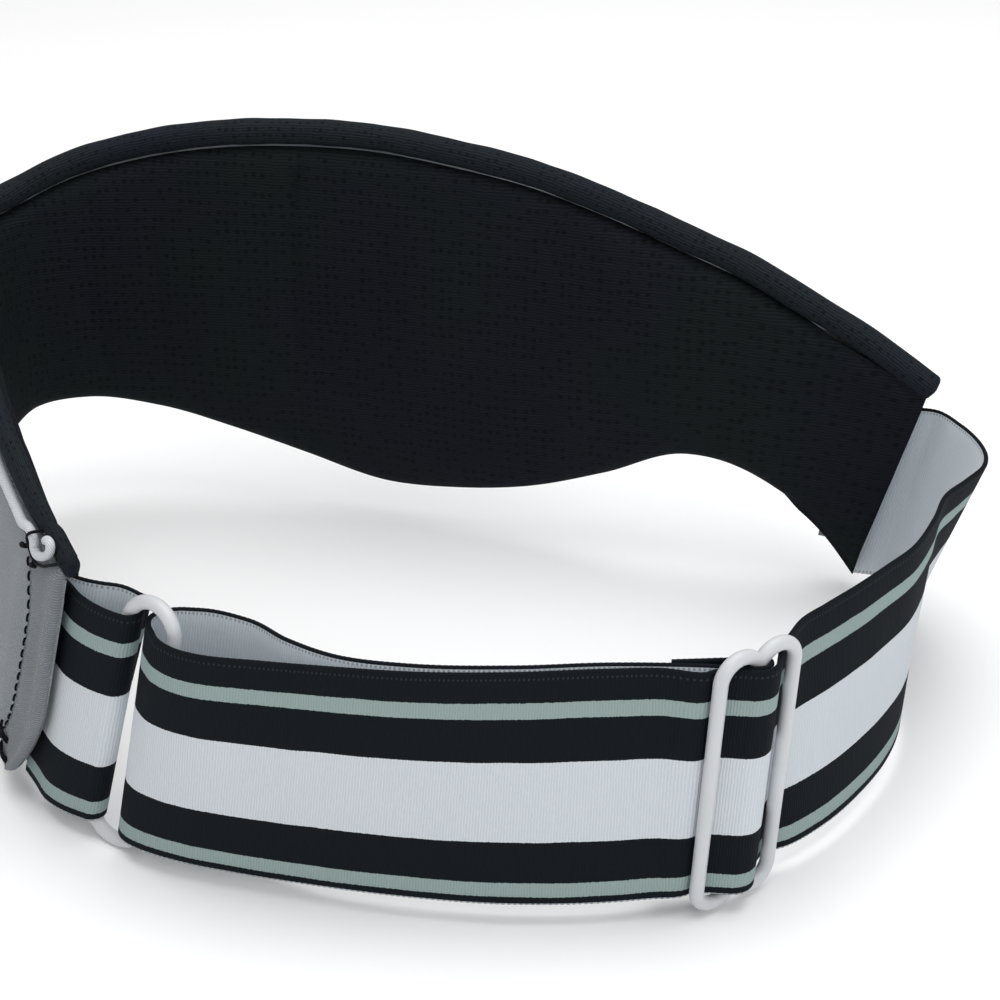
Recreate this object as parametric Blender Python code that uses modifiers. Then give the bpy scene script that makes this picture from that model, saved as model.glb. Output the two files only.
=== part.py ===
"""Adjustable padded sports headband.

A contoured pad (cover, foam, mesh lining, rolled rim) goes round the brow and over the ears. A striped
elastic closes the loop: a short doubled loop holds a wire ring, and the long elastic passes through the
ring, comes back to a figure-of-eight wire slider, and runs on to the pad's other end.

Lengths are in millimetres until place() turns them into metres. +Z is up, and the loop lies in XY.
Every run of fabric goes anticlockwise seen from above, so its outer face is on its right.
Heights are counted from the elastic's lower edge; LIFT raises them so the wire's ends stand on z = 0.
"""

import math

import bmesh
import bpy
import numpy as np

MM = 0.001
LIFT = 3.4
PLAN_CENTRE = (5.33, 2.14)

STRAP_WIDTH = 38.0
STRAP_THICK = 0.8
WIRE_RADIUS = 1.1
THREAD_RADIUS = 0.25
FOLD_RADIUS = 1.85

# Layers of the pad, as offsets outward from its middle surface.
LINING_OFFSET, LINING_THICK = -2.6, 1.2
FOAM_OFFSET, FOAM_THICK = 0.1, 3.6
COVER_OFFSET, COVER_THICK = 2.7, 1.0
RIM_RADIUS, RIM_WALL, RIM_CORD_RADIUS = 2.9, 0.8, 1.7
RIM_ROOM = 2 * RIM_RADIUS + 0.3
RIM_END_INSET = 0.6
PIPING_RADIUS = 0.85
PIPING_STAND, PIPING_DROP, PIPING_END_CLEAR = 0.5, 0.4, 1.2
HEM_WIDTH, HEM_THICK = 8.4, 0.8
HEM_TOP_ROOM, HEM_LOW_ROOM = 1.5, 0.3
HEM_SEAM_INSET = 0.9
GAP = 0.3
HEM_OFFSET = COVER_OFFSET + COVER_THICK / 2 + GAP + HEM_THICK / 2
HEM_FACE = HEM_OFFSET + HEM_THICK / 2 + GAP + THREAD_RADIUS
FOAM_SETBACK = 11.0
FOAM_TOP_GAP, FOAM_LOW_GAP = 0.6, 1.2
HEM_SEAM_CLEAR = 4.4
ANCHOR_SEAM = 4.0
ANCHOR_DEPTH = 8.0
ANCHOR_MIDDLE = 5.0
ANCHOR_TRIM = 0.6
ANCHOR_SEAM_CLEAR = 2.0
SHORT_FRONT_OFFSET, SHORT_BACK_OFFSET = 0.6, -0.9
STITCH_PITCH, STITCH_RISE = 2.3, 0.25
BAR_END_GAP = 0.35

# How finely each long piece is divided along its length.
PAD_COLUMNS, RIM_POINTS, PIPING_POINTS = 56, 46, 44
SHORT_LOOP_COLUMNS, RING_FOLD_COLUMNS, FRONT_COLUMNS, BACK_COLUMNS = 60, 24, 28, 30
WAVE_COLUMNS, WRAP_COLUMNS, TAIL_COLUMNS = 30, 36, 48

# Stations along the pad, right end to left end: plan x, y, lower edge, upper edge, lean in x and in y
# (how far the surface shifts for each millimetre of height).
PAD = [
    (84.8, 30.0, 0.8, 46.0, 0.176, -0.224),
    (77.0, 32.5, 9.8, 52.0, 0.120, -0.140),
    (69.0, 35.0, 16.4, 57.5, 0.060, -0.070),
    (61.0, 37.5, 20.2, 62.5, 0.020, -0.020),
    (53.0, 40.0, 21.0, 66.0, 0.0, 0.0),
    (38.0, 46.0, 14.5, 71.5, 0.0, 0.0),
    (24.0, 52.0, 9.0, 75.5, 0.0, 0.0),
    (9.0, 58.0, 6.0, 78.0, 0.0, 0.0),
    (-6.0, 64.0, 5.0, 79.5, 0.0, 0.0),
    (-22.0, 69.0, 9.0, 79.5, 0.0, 0.0),
    (-38.0, 72.0, 14.0, 78.5, 0.0, 0.0),
    (-53.0, 74.0, 18.0, 76.0, 0.0, 0.0),
    (-68.0, 73.0, 20.5, 72.0, 0.0, 0.0),
    (-79.0, 68.0, 20.0, 67.5, 0.0, 0.0),
    (-84.5, 57.0, 16.0, 66.5, 0.0, 0.0),
    (-84.0, 43.0, 11.0, 66.5, 0.0, 0.0),
    (-79.5, 28.0, 6.5, 66.0, 0.0, 0.0),
    (-74.5, 12.0, 3.5, 64.0, 0.02, -0.005),
    (-70.0, -4.0, 1.5, 60.5, 0.06, -0.015),
    (-66.0, -19.0, 0.5, 55.5, 0.13, -0.035),
    (-61.5, -33.0, 0.0, 49.0, 0.22, -0.06),
    (-56.5, -42.0, 0.0, 45.3, 0.245, -0.066),
    (-54.6, -45.4, 0.0, 44.4, 0.25, -0.067),
]
COVER_LEFT_SHORTER = 1.5
LINING_LEFT_SHORTER = 7.0
LEFT_SEAM_INSET = 1.4
BACK_SEWN_LENGTH = 2.5

# Bars of the hardware, each as its plan place at the elastic's lower edge and at its upper edge.
RING_LEFT = ((-47.2, -49.7), (-37.4, -53.2))
RING_RIGHT = ((-38.3, -56.6), (-29.6, -61.0))
RING_TOP, RING_BOTTOM, RING_CORNER = 41.0, -2.3, 2.4
SLIDER_CENTRE = ((50.6, -69.3), (52.9, -69.7))
SLIDER_HALF = 6.9
SLIDER_ALONG = (0.813, 0.581)
SLIDER_TOP, SLIDER_BOTTOM, SLIDER_CORNER = 41.4, -2.3, 2.4
SLIDER_TOP_DIP, SLIDER_BOTTOM_DIP = 1.5, 0.6

# Runs of elastic outside the pad: plan x, y of the lower edge, then of the upper edge.
RING_FOLD = [
    (-36.6, -51.6, -29.6, -52.6),
    (-39.2, -51.9, -31.9, -52.9),
    (-41.2, -53.0, -33.5, -53.9),
    (-41.9, -54.7, -34.2, -55.5),
    (-41.5, -56.3, -34.0, -57.4),
    (-40.4, -57.8, -33.2, -59.6),
    (-38.6, -59.2, -32.2, -61.9),
]
SHORT_BACK = [
    (-44.4, -46.6, -35.1, -50.0),
    (-46.2, -44.4, -36.9, -47.7),
    (-49.3, -42.0, -40.2, -45.1),
    (-52.6, -41.4, -43.4, -44.1),
]
FRONT_RUN = [
    (-37.8, -59.7, -31.6, -62.7),
    (-35.6, -60.9, -29.8, -64.5),
    (-31.4, -62.8, -26.2, -66.5),
    (-22.5, -65.8, -16.9, -68.6),
    (-13.1, -68.4, -8.5, -70.1),
    (1.8, -71.8, 5.5, -72.6),
    (16.5, -74.0, 18.9, -73.1),
    (30.4, -74.8, 32.1, -72.9),
    (40.4, -74.0, 42.6, -73.6),
]
BACK_RUN = [
    (-35.6, -51.5, -28.8, -52.7),
    (-31.6, -51.9, -25.4, -53.3),
    (-26.0, -54.4, -19.7, -56.2),
    (-18.0, -60.6, -13.4, -62.3),
    (-9.0, -66.0, -5.8, -67.3),
    (2.2, -69.6, 4.8, -70.3),
    (16.5, -71.8, 18.8, -70.9),
    (30.4, -72.6, 32.2, -70.8),
    (39.8, -71.9, 42.0, -71.8),
]
TAIL_RUN = [
    (58.2, -61.6, 59.8, -61.4),
    (65.9, -54.8, 64.6, -54.6),
    (73.6, -45.0, 70.8, -47.1),
    (78.3, -37.2, 75.6, -41.6),
    (82.3, -28.7, 81.0, -34.0),
    (85.9, -17.5, 88.0, -21.8),
    (89.0, -5.0, 94.5, -10.8),
    (91.4, 6.5, 99.3, -3.0),
    (93.0, 16.0, 100.4, 5.3),
    (92.8, 23.6, 98.8, 13.6),
    (89.6, 28.2, 95.9, 19.6),
]
# Threading of the elastic through the slider: distance along it and outward of its centre bar.
WAVE = [
    (-10.2, -1.9), (-8.0, -1.85), (-6.4, -1.65), (-4.6, -0.35), (-2.9, 1.2), (-1.5, 2.35), (0.0, 2.75),
    (1.5, 2.35), (2.9, 1.2), (4.6, -0.35), (6.4, -1.65), (8.0, -1.85), (9.8, -1.75),
]
WRAP = [
    (-9.6, -2.95), (-7.4, -2.95), (-5.9, -2.45), (-4.0, -0.95), (-2.2, 0.6), (-1.2, 1.3), (0.0, 1.75),
    (1.25, 1.25), (1.75, 0.0), (1.25, -1.25), (0.0, -1.8), (-2.2, -2.65), (-4.5, -3.7), (-7.0, -4.1),
    (-9.6, -4.15),
]
SHORT_FOLD_ALONG = (0.73, -0.68)
WRAP_SEAM = (-8.2, -4.95)
WRAP_SEAM_LOW = 2.5


def place(x, y, z):
    """A point of the design in metres, in the part's own frame."""
    return ((x - PLAN_CENTRE[0]) * MM, (y - PLAN_CENTRE[1]) * MM, (z + LIFT) * MM)


def resample(rows, count):
    """Even steps along a smooth curve through the rows; the first two columns measure its length."""
    rows = np.array(rows, float)
    at = np.concatenate([[0.0], np.cumsum(np.hypot(*np.diff(rows[:, :2], axis=0).T))])
    slope = np.gradient(rows, at, axis=0)
    fine = np.linspace(0.0, at[-1], 20 * len(rows))
    piece = np.clip(np.searchsorted(at, fine, side="right") - 1, 0, len(at) - 2)
    span = (at[piece + 1] - at[piece])[:, None]
    t = ((fine - at[piece])[:, None]) / span
    curve = (
        (2 * t**3 - 3 * t**2 + 1) * rows[piece]
        + (t**3 - 2 * t**2 + t) * span * slope[piece]
        + (-2 * t**3 + 3 * t**2) * rows[piece + 1]
        + (t**3 - t**2) * span * slope[piece + 1]
    )
    run = np.concatenate([[0.0], np.cumsum(np.hypot(*np.diff(curve[:, :2], axis=0).T))])
    even = np.linspace(0.0, run[-1], count)
    return np.array([np.interp(even, run, column) for column in curve.T]).T


def outward(xy):
    """Unit vectors to the right of a run of plan points."""
    along = np.gradient(xy, axis=0)
    along /= np.linalg.norm(along, axis=1)[:, None]
    return np.stack([along[:, 1], -along[:, 0]], axis=1)


PAD_FINE = resample(PAD, 600)
PAD_RUN = np.concatenate([[0.0], np.cumsum(np.hypot(*np.diff(PAD_FINE[:, :2], axis=0).T))])
PAD_OUT = outward(PAD_FINE[:, :2])
PAD_LENGTH = PAD_RUN[-1]


def pad_station(distance):
    """Plan place, outward direction, lower and upper edge and lean at a distance along the pad."""
    values = [np.interp(distance, PAD_RUN, column) for column in PAD_FINE.T]
    out = [np.interp(distance, PAD_RUN, column) for column in PAD_OUT.T]
    return np.array(values[:2]), np.array(out), values[2], values[3], np.array(values[4:])


def pad_point(distance, height, offset):
    """A point on the pad: along it, up it, and outward of its middle surface."""
    base, out, _, _, lean = pad_station(distance)
    xy = base + out * offset + lean * height
    return place(xy[0], xy[1], height)


def pad_row(distance, offset):
    """Where elastic lies between the pad's layers: plan places of its lower and upper edges, and how much
    of its lower edge is cut away to keep it inside the pad."""
    base, out, pad_low, _, lean = pad_station(distance)
    low = base + out * offset
    high = low + lean * STRAP_WIDTH
    return (*low, *high, pad_low + ANCHOR_TRIM)


def material(name, colour, roughness, metallic=0.0):
    made = bpy.data.materials.new(name)
    made.use_nodes = True
    shader = made.node_tree.nodes["Principled BSDF"]
    shader.inputs["Base Color"].default_value = (*colour, 1.0)
    shader.inputs["Roughness"].default_value = roughness
    shader.inputs["Metallic"].default_value = metallic
    return made


def finish(thing, name, look, smooth=True):
    """Name an object, give it its material, and put it in the part's collection."""
    thing.name = name
    thing.data.name = name
    thing.data.materials.clear()
    thing.data.materials.append(look)
    for holder in list(thing.users_collection):
        holder.objects.unlink(thing)
    PARTS.objects.link(thing)
    if smooth and thing.type == "MESH":
        thing.data.shade_smooth()
        thing.data.set_sharp_from_angle(angle=math.radians(35))
    return thing


def sheet_grid(columns, rows, point):
    """A grid mesh whose corners are placed by point(u, v), with u and v from 0 to 1."""
    mesh = bpy.data.meshes.new("sheet")
    built = bmesh.new()
    bmesh.ops.create_grid(built, x_segments=columns, y_segments=rows, size=0.5)
    for vertex in built.verts:
        vertex.co = point(vertex.co.x + 0.5, vertex.co.y + 0.5)
    built.to_mesh(mesh)
    built.free()
    return bpy.data.objects.new("sheet", mesh)


def solid_sheet(name, look, columns, rows, point, thickness):
    """A sheet of even thickness, centred on the surface that point(u, v) gives."""
    thing = finish(sheet_grid(columns, rows, point), name, look)
    solidify = thing.modifiers.new("Thickness", "SOLIDIFY")
    solidify.thickness = thickness * MM
    solidify.offset = 0.0
    solidify.use_even_offset = True
    return thing


def pad_layer(name, look, offset, thickness, start, end, top_room, low_room, columns=PAD_COLUMNS, rows=2):
    """One layer of the pad between two distances along it."""

    def point(u, v):
        distance = start + (end - start) * u
        _, _, low, high, _ = pad_station(distance)
        height = low + low_room + (high - top_room - low - low_room) * v
        return pad_point(distance, height, offset)

    return solid_sheet(name, look, columns, rows, point, thickness)


def strap(name, look, rows_of_run, columns, across=2):
    """A run of elastic, straight from its lower edge to its upper edge. A row's fifth number is the height
    below which it is cut away."""
    run = resample([(*row, 0.0)[:5] for row in rows_of_run], columns + 1)

    def point(u, v):
        xl, yl, xu, yu, cut = run[round(u * columns)]
        share = (max(cut, 0.0) + (STRAP_WIDTH - max(cut, 0.0)) * v) / STRAP_WIDTH
        return place(xl + (xu - xl) * share, yl + (yu - yl) * share, STRAP_WIDTH * share)

    return solid_sheet(name, look, columns, across, point, STRAP_THICK)


def bar_at(bar, height):
    """Plan place of a leaning bar at a height."""
    part = height / STRAP_WIDTH
    return tuple(low + (high - low) * part for low, high in zip(*bar))


def about_bar(bar, along, steps):
    """Rows of elastic at (distance along, distance outward) steps from a leaning bar."""
    out = (along[1], -along[0])
    rows = []
    for a, b in steps:
        dx = a * along[0] + b * out[0]
        dy = a * along[1] + b * out[1]
        rows.append((bar[0][0] + dx, bar[0][1] + dy, bar[1][0] + dx, bar[1][1] + dy))
    return rows


def fold_steps(radius, count=6):
    """A U round a bar, which opens backwards along the run."""
    angles = [math.pi / 2 - math.pi * i / count for i in range(count + 1)]
    return [(radius * math.cos(angle), radius * math.sin(angle)) for angle in angles]


def wire(name, look, points, radius, closed=False, resolution=2):
    """A round tube through the points."""
    data = bpy.data.curves.new(name, "CURVE")
    data.dimensions = "3D"
    spline = data.splines.new("POLY")
    spline.points.add(len(points) - 1)
    for knot, point in zip(spline.points, points):
        knot.co = (*point, 1.0)
    spline.use_cyclic_u = closed
    spline.use_smooth = True
    data.bevel_depth = radius * MM
    data.bevel_resolution = resolution
    data.use_fill_caps = True
    return finish(bpy.data.objects.new(name, data), name, look, smooth=False)


def frame_loop(left, right, top, bottom, corner, top_dip=0.0, bottom_dip=0.0, steps=5):
    """Centre line of a wire frame with round corners between two leaning bars."""
    width = math.dist(left[0], right[0])

    def at(across, height):
        a = bar_at(left, height)
        b = bar_at(right, height)
        part = across / width
        return place(a[0] + (b[0] - a[0]) * part, a[1] + (b[1] - a[1]) * part, height)

    corners = [
        (corner, bottom + corner, math.pi, 1.5 * math.pi),
        (width - corner, bottom + corner, 1.5 * math.pi, 2 * math.pi),
        (width - corner, top - corner, 0.0, 0.5 * math.pi),
        (corner, top - corner, 0.5 * math.pi, math.pi),
    ]
    points = []
    for index, (across, height, first, last) in enumerate(corners):
        for i in range(steps + 1):
            angle = first + (last - first) * i / steps
            points.append(at(across + corner * math.cos(angle), height + corner * math.sin(angle)))
        if index == 0 and bottom_dip:
            points.append(at(width / 2, bottom + bottom_dip))
        if index == 2 and top_dip:
            points.append(at(width / 2, top - top_dip))
    return points


def seam(name, look, point, length):
    """One thread laid as a row of stitches: point(distance, rise) gives its course, and it stands
    a little proud in the middle of each stitch."""
    count = int(length / STITCH_PITCH)
    course = [point(0.0, 0.0)]
    for i in range(count):
        start = i * STITCH_PITCH
        course.append(point(start + 0.5 * STITCH_PITCH, STITCH_RISE))
        course.append(point(start + STITCH_PITCH, 0.0))
    wire(name, look, course, THREAD_RADIUS)


def make_pad():
    lining = material("mesh_lining", (0.012, 0.016, 0.020), 0.85)
    rim = material("rim_mesh", (0.010, 0.014, 0.022), 0.80)
    foam = material("foam", (0.55, 0.55, 0.52), 0.95)
    cover = material("cover_knit", (0.40, 0.42, 0.44), 0.85)
    piping = material("piping", (0.60, 0.61, 0.63), 0.75)
    cord = material("filler_cord", (0.70, 0.70, 0.68), 0.9)
    thread = material("thread", (0.01, 0.01, 0.012), 0.7)

    cover_end = PAD_LENGTH - COVER_LEFT_SHORTER
    lining_end = PAD_LENGTH - LINING_LEFT_SHORTER
    foam_end = PAD_LENGTH - FOAM_SETBACK - COVER_LEFT_SHORTER
    pad_layer("mesh_lining", lining, LINING_OFFSET, LINING_THICK, 0.0, lining_end, RIM_ROOM, 0.0)
    foam_top = RIM_ROOM + FOAM_TOP_GAP
    pad_layer("foam_pad", foam, FOAM_OFFSET, FOAM_THICK, FOAM_SETBACK, foam_end, foam_top, FOAM_LOW_GAP)
    pad_layer("outer_cover", cover, COVER_OFFSET, COVER_THICK, 0.0, cover_end, RIM_ROOM, 0.0)

    hem_rooms = {"top_room": HEM_TOP_ROOM, "low_room": HEM_LOW_ROOM, "columns": 4, "rows": 4}
    for side, start, sewn in (
        ("right", 0.0, HEM_WIDTH - HEM_SEAM_INSET),
        ("left", cover_end - HEM_WIDTH, cover_end - HEM_WIDTH + HEM_SEAM_INSET),
    ):
        pad_layer(f"{side}_end_hem", cover, HEM_OFFSET, HEM_THICK, start, start + HEM_WIDTH, **hem_rooms)
        _, _, low, high, _ = pad_station(sewn)
        first = low + HEM_SEAM_CLEAR

        def up_the_hem(distance, rise, sewn=sewn, first=first):
            return pad_point(sewn, first + distance, HEM_FACE + rise)

        seam(f"{side}_hem_topstitch", thread, up_the_hem, high - RIM_ROOM - HEM_SEAM_CLEAR - first)

    rim_points = []
    for distance in np.linspace(RIM_END_INSET, PAD_LENGTH - RIM_END_INSET, RIM_POINTS):
        _, _, _, high, _ = pad_station(distance)
        rim_points.append(pad_point(distance, high - RIM_RADIUS, 0.0))
    tube_along(rim_points, "top_rim", rim, RIM_RADIUS, RIM_WALL)
    wire("rim_filler_cord", cord, rim_points[1:-1], RIM_CORD_RADIUS)

    piping_points = []
    piping_offset = COVER_OFFSET + COVER_THICK / 2 + PIPING_STAND + PIPING_RADIUS
    end_room = HEM_WIDTH + PIPING_END_CLEAR
    for distance in np.linspace(end_room, cover_end - end_room, PIPING_POINTS):
        _, _, _, high, _ = pad_station(distance)
        height = high - RIM_ROOM - PIPING_RADIUS - PIPING_DROP
        piping_points.append(pad_point(distance, height, piping_offset))
    wire("cover_piping", piping, piping_points, PIPING_RADIUS)

    corner_ties(thread, cover_end)


def tube_along(points, name, look, radius, wall):
    """A hollow tube with open ends: a bevelled curve turned to a mesh and thickened inwards."""
    data = bpy.data.curves.new("path", "CURVE")
    data.dimensions = "3D"
    spline = data.splines.new("POLY")
    spline.points.add(len(points) - 1)
    for knot, point in zip(spline.points, points):
        knot.co = (*point, 1.0)
    data.bevel_depth = radius * MM
    data.bevel_resolution = 2
    path = bpy.data.objects.new("path", data)
    PARTS.objects.link(path)
    evaluated = path.evaluated_get(bpy.context.evaluated_depsgraph_get())
    mesh = bpy.data.meshes.new_from_object(evaluated)
    built = bmesh.new()
    built.from_mesh(mesh)
    bmesh.ops.remove_doubles(built, verts=built.verts, dist=0.00001)
    bmesh.ops.recalc_face_normals(built, faces=built.faces)
    built.to_mesh(mesh)
    built.free()
    bpy.data.objects.remove(path)
    tube = finish(bpy.data.objects.new(name, mesh), name, look)
    solidify = tube.modifiers.new("Wall", "SOLIDIFY")
    solidify.thickness = wall * MM
    solidify.offset = -1.0
    return tube


def corner_ties(thread, cover_end):
    """Thread wound to and fro at the left hem's upper corner, and thread bars at its lower corner."""
    _, _, low, high, _ = pad_station(cover_end)
    top = high - RIM_ROOM
    tie = [(0.4, 0.7), (2.4, 1.2), (0.5, 1.6), (3.2, 2.2), (0.6, 2.6), (3.6, 3.4)]
    bars = [(0.4, 0.8), (1.9, 0.8), (1.9, 1.6), (0.4, 1.6), (0.4, 2.4), (3.9, 2.4), (3.9, 1.4), (3.0, 1.4)]
    for name, from_edge, course in (
        ("corner_tie", top, [(a, -b) for a, b in tie]),
        ("hem_bartacks", low, bars),
    ):
        points = [pad_point(cover_end - a, from_edge + b, HEM_FACE) for a, b in course]
        wire(name, thread, points, THREAD_RADIUS)


def make_short_loop():
    elastic = material("striped_elastic", (0.45, 0.46, 0.48), 0.8)
    fold = about_bar(RING_LEFT, SHORT_FOLD_ALONG, fold_steps(FOLD_RADIUS))
    sewn = PAD_LENGTH - COVER_LEFT_SHORTER - ANCHOR_DEPTH
    front = [pad_row(distance, SHORT_FRONT_OFFSET) for distance in (sewn, sewn + ANCHOR_MIDDLE, PAD_LENGTH)]
    back = [pad_row(distance, SHORT_BACK_OFFSET) for distance in (sewn + BACK_SEWN_LENGTH, sewn)]
    strap("short_strap_loop", elastic, front + fold + SHORT_BACK + back, SHORT_LOOP_COLUMNS)


def make_ring():
    coated = material("coated_wire", (0.80, 0.80, 0.81), 0.35)
    elastic = bpy.data.materials["striped_elastic"]
    wire(
        "wire_ring",
        coated,
        frame_loop(RING_LEFT, RING_RIGHT, RING_TOP, RING_BOTTOM, RING_CORNER),
        WIRE_RADIUS,
        closed=True,
    )
    strap("strap_ring_fold", elastic, RING_FOLD, RING_FOLD_COLUMNS)


def make_slider():
    coated = bpy.data.materials["coated_wire"]
    elastic = bpy.data.materials["striped_elastic"]
    thread = bpy.data.materials["thread"]
    bars = []
    for side in (-1, 1):
        step = (side * SLIDER_HALF * SLIDER_ALONG[0], side * SLIDER_HALF * SLIDER_ALONG[1])
        bars.append(tuple((x + step[0], y + step[1]) for x, y in SLIDER_CENTRE))
    outline = frame_loop(
        bars[0], bars[1], SLIDER_TOP, SLIDER_BOTTOM, SLIDER_CORNER, SLIDER_TOP_DIP, SLIDER_BOTTOM_DIP
    )
    wire("slider_frame", coated, outline, WIRE_RADIUS, closed=True)
    low = SLIDER_BOTTOM + SLIDER_BOTTOM_DIP + WIRE_RADIUS + BAR_END_GAP
    high = SLIDER_TOP - SLIDER_TOP_DIP - WIRE_RADIUS - BAR_END_GAP
    ends = [place(*bar_at(SLIDER_CENTRE, height), height) for height in (low, high)]
    wire("slider_centre_bar", coated, ends, WIRE_RADIUS, resolution=3)
    strap("strap_slider_wave", elastic, about_bar(SLIDER_CENTRE, SLIDER_ALONG, WAVE), WAVE_COLUMNS)
    strap("strap_end_wrap", elastic, about_bar(SLIDER_CENTRE, SLIDER_ALONG, WRAP), WRAP_COLUMNS)

    def up_the_wrap(distance, rise):
        height = WRAP_SEAM_LOW + distance
        x, y = bar_at(SLIDER_CENTRE, height)
        a, b = WRAP_SEAM
        b -= rise
        dx = a * SLIDER_ALONG[0] + b * SLIDER_ALONG[1]
        dy = a * SLIDER_ALONG[1] - b * SLIDER_ALONG[0]
        return place(x + dx, y + dy, height)

    seam("strap_end_stitches", thread, up_the_wrap, STRAP_WIDTH - 2 * WRAP_SEAM_LOW)


def make_long_strap():
    elastic = bpy.data.materials["striped_elastic"]
    strap("strap_front_run", elastic, FRONT_RUN, FRONT_COLUMNS)
    strap("strap_back_run", elastic, BACK_RUN, BACK_COLUMNS)
    sewn = [pad_row(distance, 0.0) for distance in (0.0, ANCHOR_DEPTH / 2, ANCHOR_DEPTH)]
    strap("strap_tail_run", elastic, TAIL_RUN + sewn, TAIL_COLUMNS)


def make_anchor_seams():
    """Seams on the lining's face, which hold each elastic between the pad's layers."""
    thread = bpy.data.materials["thread"]
    face = LINING_OFFSET - LINING_THICK / 2 - GAP - THREAD_RADIUS
    left_seam = PAD_LENGTH - LINING_LEFT_SHORTER - LEFT_SEAM_INSET
    for side, distance in (("right", ANCHOR_SEAM), ("left", left_seam)):
        _, _, low, high, _ = pad_station(distance)
        first = low + ANCHOR_SEAM_CLEAR

        def up_the_lining(along, rise, distance=distance, first=first):
            return pad_point(distance, first + along, face - rise)

        seam(f"{side}_anchor_seam", thread, up_the_lining, high - RIM_ROOM - ANCHOR_SEAM_CLEAR - first)


for old in list(bpy.data.objects):
    bpy.data.objects.remove(old)
PARTS = bpy.data.collections.new("padded_headband")
bpy.context.scene.collection.children.link(PARTS)

make_pad()
make_short_loop()
make_ring()
make_slider()
make_long_strap()
make_anchor_seams()
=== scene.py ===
"""Looks for the adjustable padded sports headband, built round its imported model.

Lengths are in millimetres until place() turns them into metres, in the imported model's own frame. +Z is up.
The pad and the elastic go anticlockwise seen from above, so their outer faces are on their right.
A place on the pad is (distance along it from its right end, height, offset outward of its middle surface).
"""

import math

import bmesh
import bpy
import numpy as np
from mathutils import Matrix, Vector


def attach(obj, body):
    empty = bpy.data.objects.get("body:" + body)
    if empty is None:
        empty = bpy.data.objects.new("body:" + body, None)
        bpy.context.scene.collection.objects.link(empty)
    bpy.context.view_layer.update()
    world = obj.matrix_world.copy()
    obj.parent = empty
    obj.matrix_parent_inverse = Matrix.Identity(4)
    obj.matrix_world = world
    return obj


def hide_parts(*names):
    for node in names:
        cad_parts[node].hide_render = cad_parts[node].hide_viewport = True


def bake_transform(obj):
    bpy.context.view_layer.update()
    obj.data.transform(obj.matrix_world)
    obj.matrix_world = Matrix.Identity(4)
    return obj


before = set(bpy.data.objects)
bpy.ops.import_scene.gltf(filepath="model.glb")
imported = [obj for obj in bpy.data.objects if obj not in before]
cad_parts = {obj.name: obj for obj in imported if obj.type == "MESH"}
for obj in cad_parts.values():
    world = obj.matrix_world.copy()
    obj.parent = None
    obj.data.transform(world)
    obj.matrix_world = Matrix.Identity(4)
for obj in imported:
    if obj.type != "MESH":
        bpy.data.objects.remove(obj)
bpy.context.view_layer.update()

MM = 0.001
LIFT = 3.4
PLAN_CENTRE = (5.33, 2.14)

# Sizes of the elastic, the wires, the rim and the sewn ends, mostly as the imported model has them.
STRAP_WIDTH, STRAP_THICK = 38.0, 0.8
WIRE_RADIUS, THREAD_RADIUS = 1.1, 0.2
FOLD_RADIUS, FOLD_STEPS = 1.85, 6
RIM_RADIUS, RIM_CORD_RADIUS = 2.5, 1.2
RIM_END_RADIUS, RIM_END_SHIFT, RIM_END_FLAT = 2.05, 2.2, 0.68
PIPING_RADIUS = 0.82
COVER_LEFT_SHORTER = 1.5
LINING_LEFT_SHORTER = 7.0
LINING_FLARE, FLARE_RUN = 2.0, 14.0
LEFT_SEAM_INSET = 1.4
BACK_SEWN_LENGTH = 2.5
ANCHOR_SEAM, ANCHOR_DEPTH = 4.0, 8.0
FOAM_SETBACK = 11.0
SHORT_FRONT_OFFSET, SHORT_BACK_OFFSET = 0.6, -0.9
STITCH_PITCH = 2.3

# Stations along the pad, right end to left end: plan x, y, lower edge, upper edge, lean in x and in y.
PAD = [
    (84.8, 30.0, 0.8, 46.0, 0.176, -0.224),
    (77.0, 32.5, 9.8, 52.0, 0.120, -0.140),
    (69.0, 35.0, 16.4, 57.5, 0.060, -0.070),
    (61.0, 37.5, 20.2, 62.5, 0.020, -0.020),
    (53.0, 40.0, 21.0, 66.0, 0.0, 0.0),
    (38.0, 46.0, 14.5, 71.5, 0.0, 0.0),
    (24.0, 52.0, 9.0, 75.5, 0.0, 0.0),
    (9.0, 58.0, 6.0, 78.0, 0.0, 0.0),
    (-6.0, 64.0, 5.0, 79.5, 0.0, 0.0),
    (-22.0, 69.0, 9.0, 79.5, 0.0, 0.0),
    (-38.0, 72.0, 14.0, 78.5, 0.0, 0.0),
    (-53.0, 74.0, 18.0, 76.0, 0.0, 0.0),
    (-68.0, 73.0, 20.5, 72.0, 0.0, 0.0),
    (-79.0, 68.0, 20.0, 67.5, 0.0, 0.0),
    (-84.5, 57.0, 16.0, 66.5, 0.0, 0.0),
    (-84.0, 43.0, 11.0, 66.5, 0.0, 0.0),
    (-79.5, 28.0, 6.5, 66.0, 0.0, 0.0),
    (-74.5, 12.0, 3.5, 64.0, 0.02, -0.005),
    (-70.0, -4.0, 1.5, 60.5, 0.06, -0.015),
    (-66.0, -19.0, 0.5, 55.5, 0.13, -0.035),
    (-61.5, -33.0, 0.0, 49.0, 0.22, -0.06),
    (-56.5, -42.0, 0.0, 45.3, 0.245, -0.066),
    (-54.6, -45.4, 0.0, 44.4, 0.25, -0.067),
]

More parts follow.
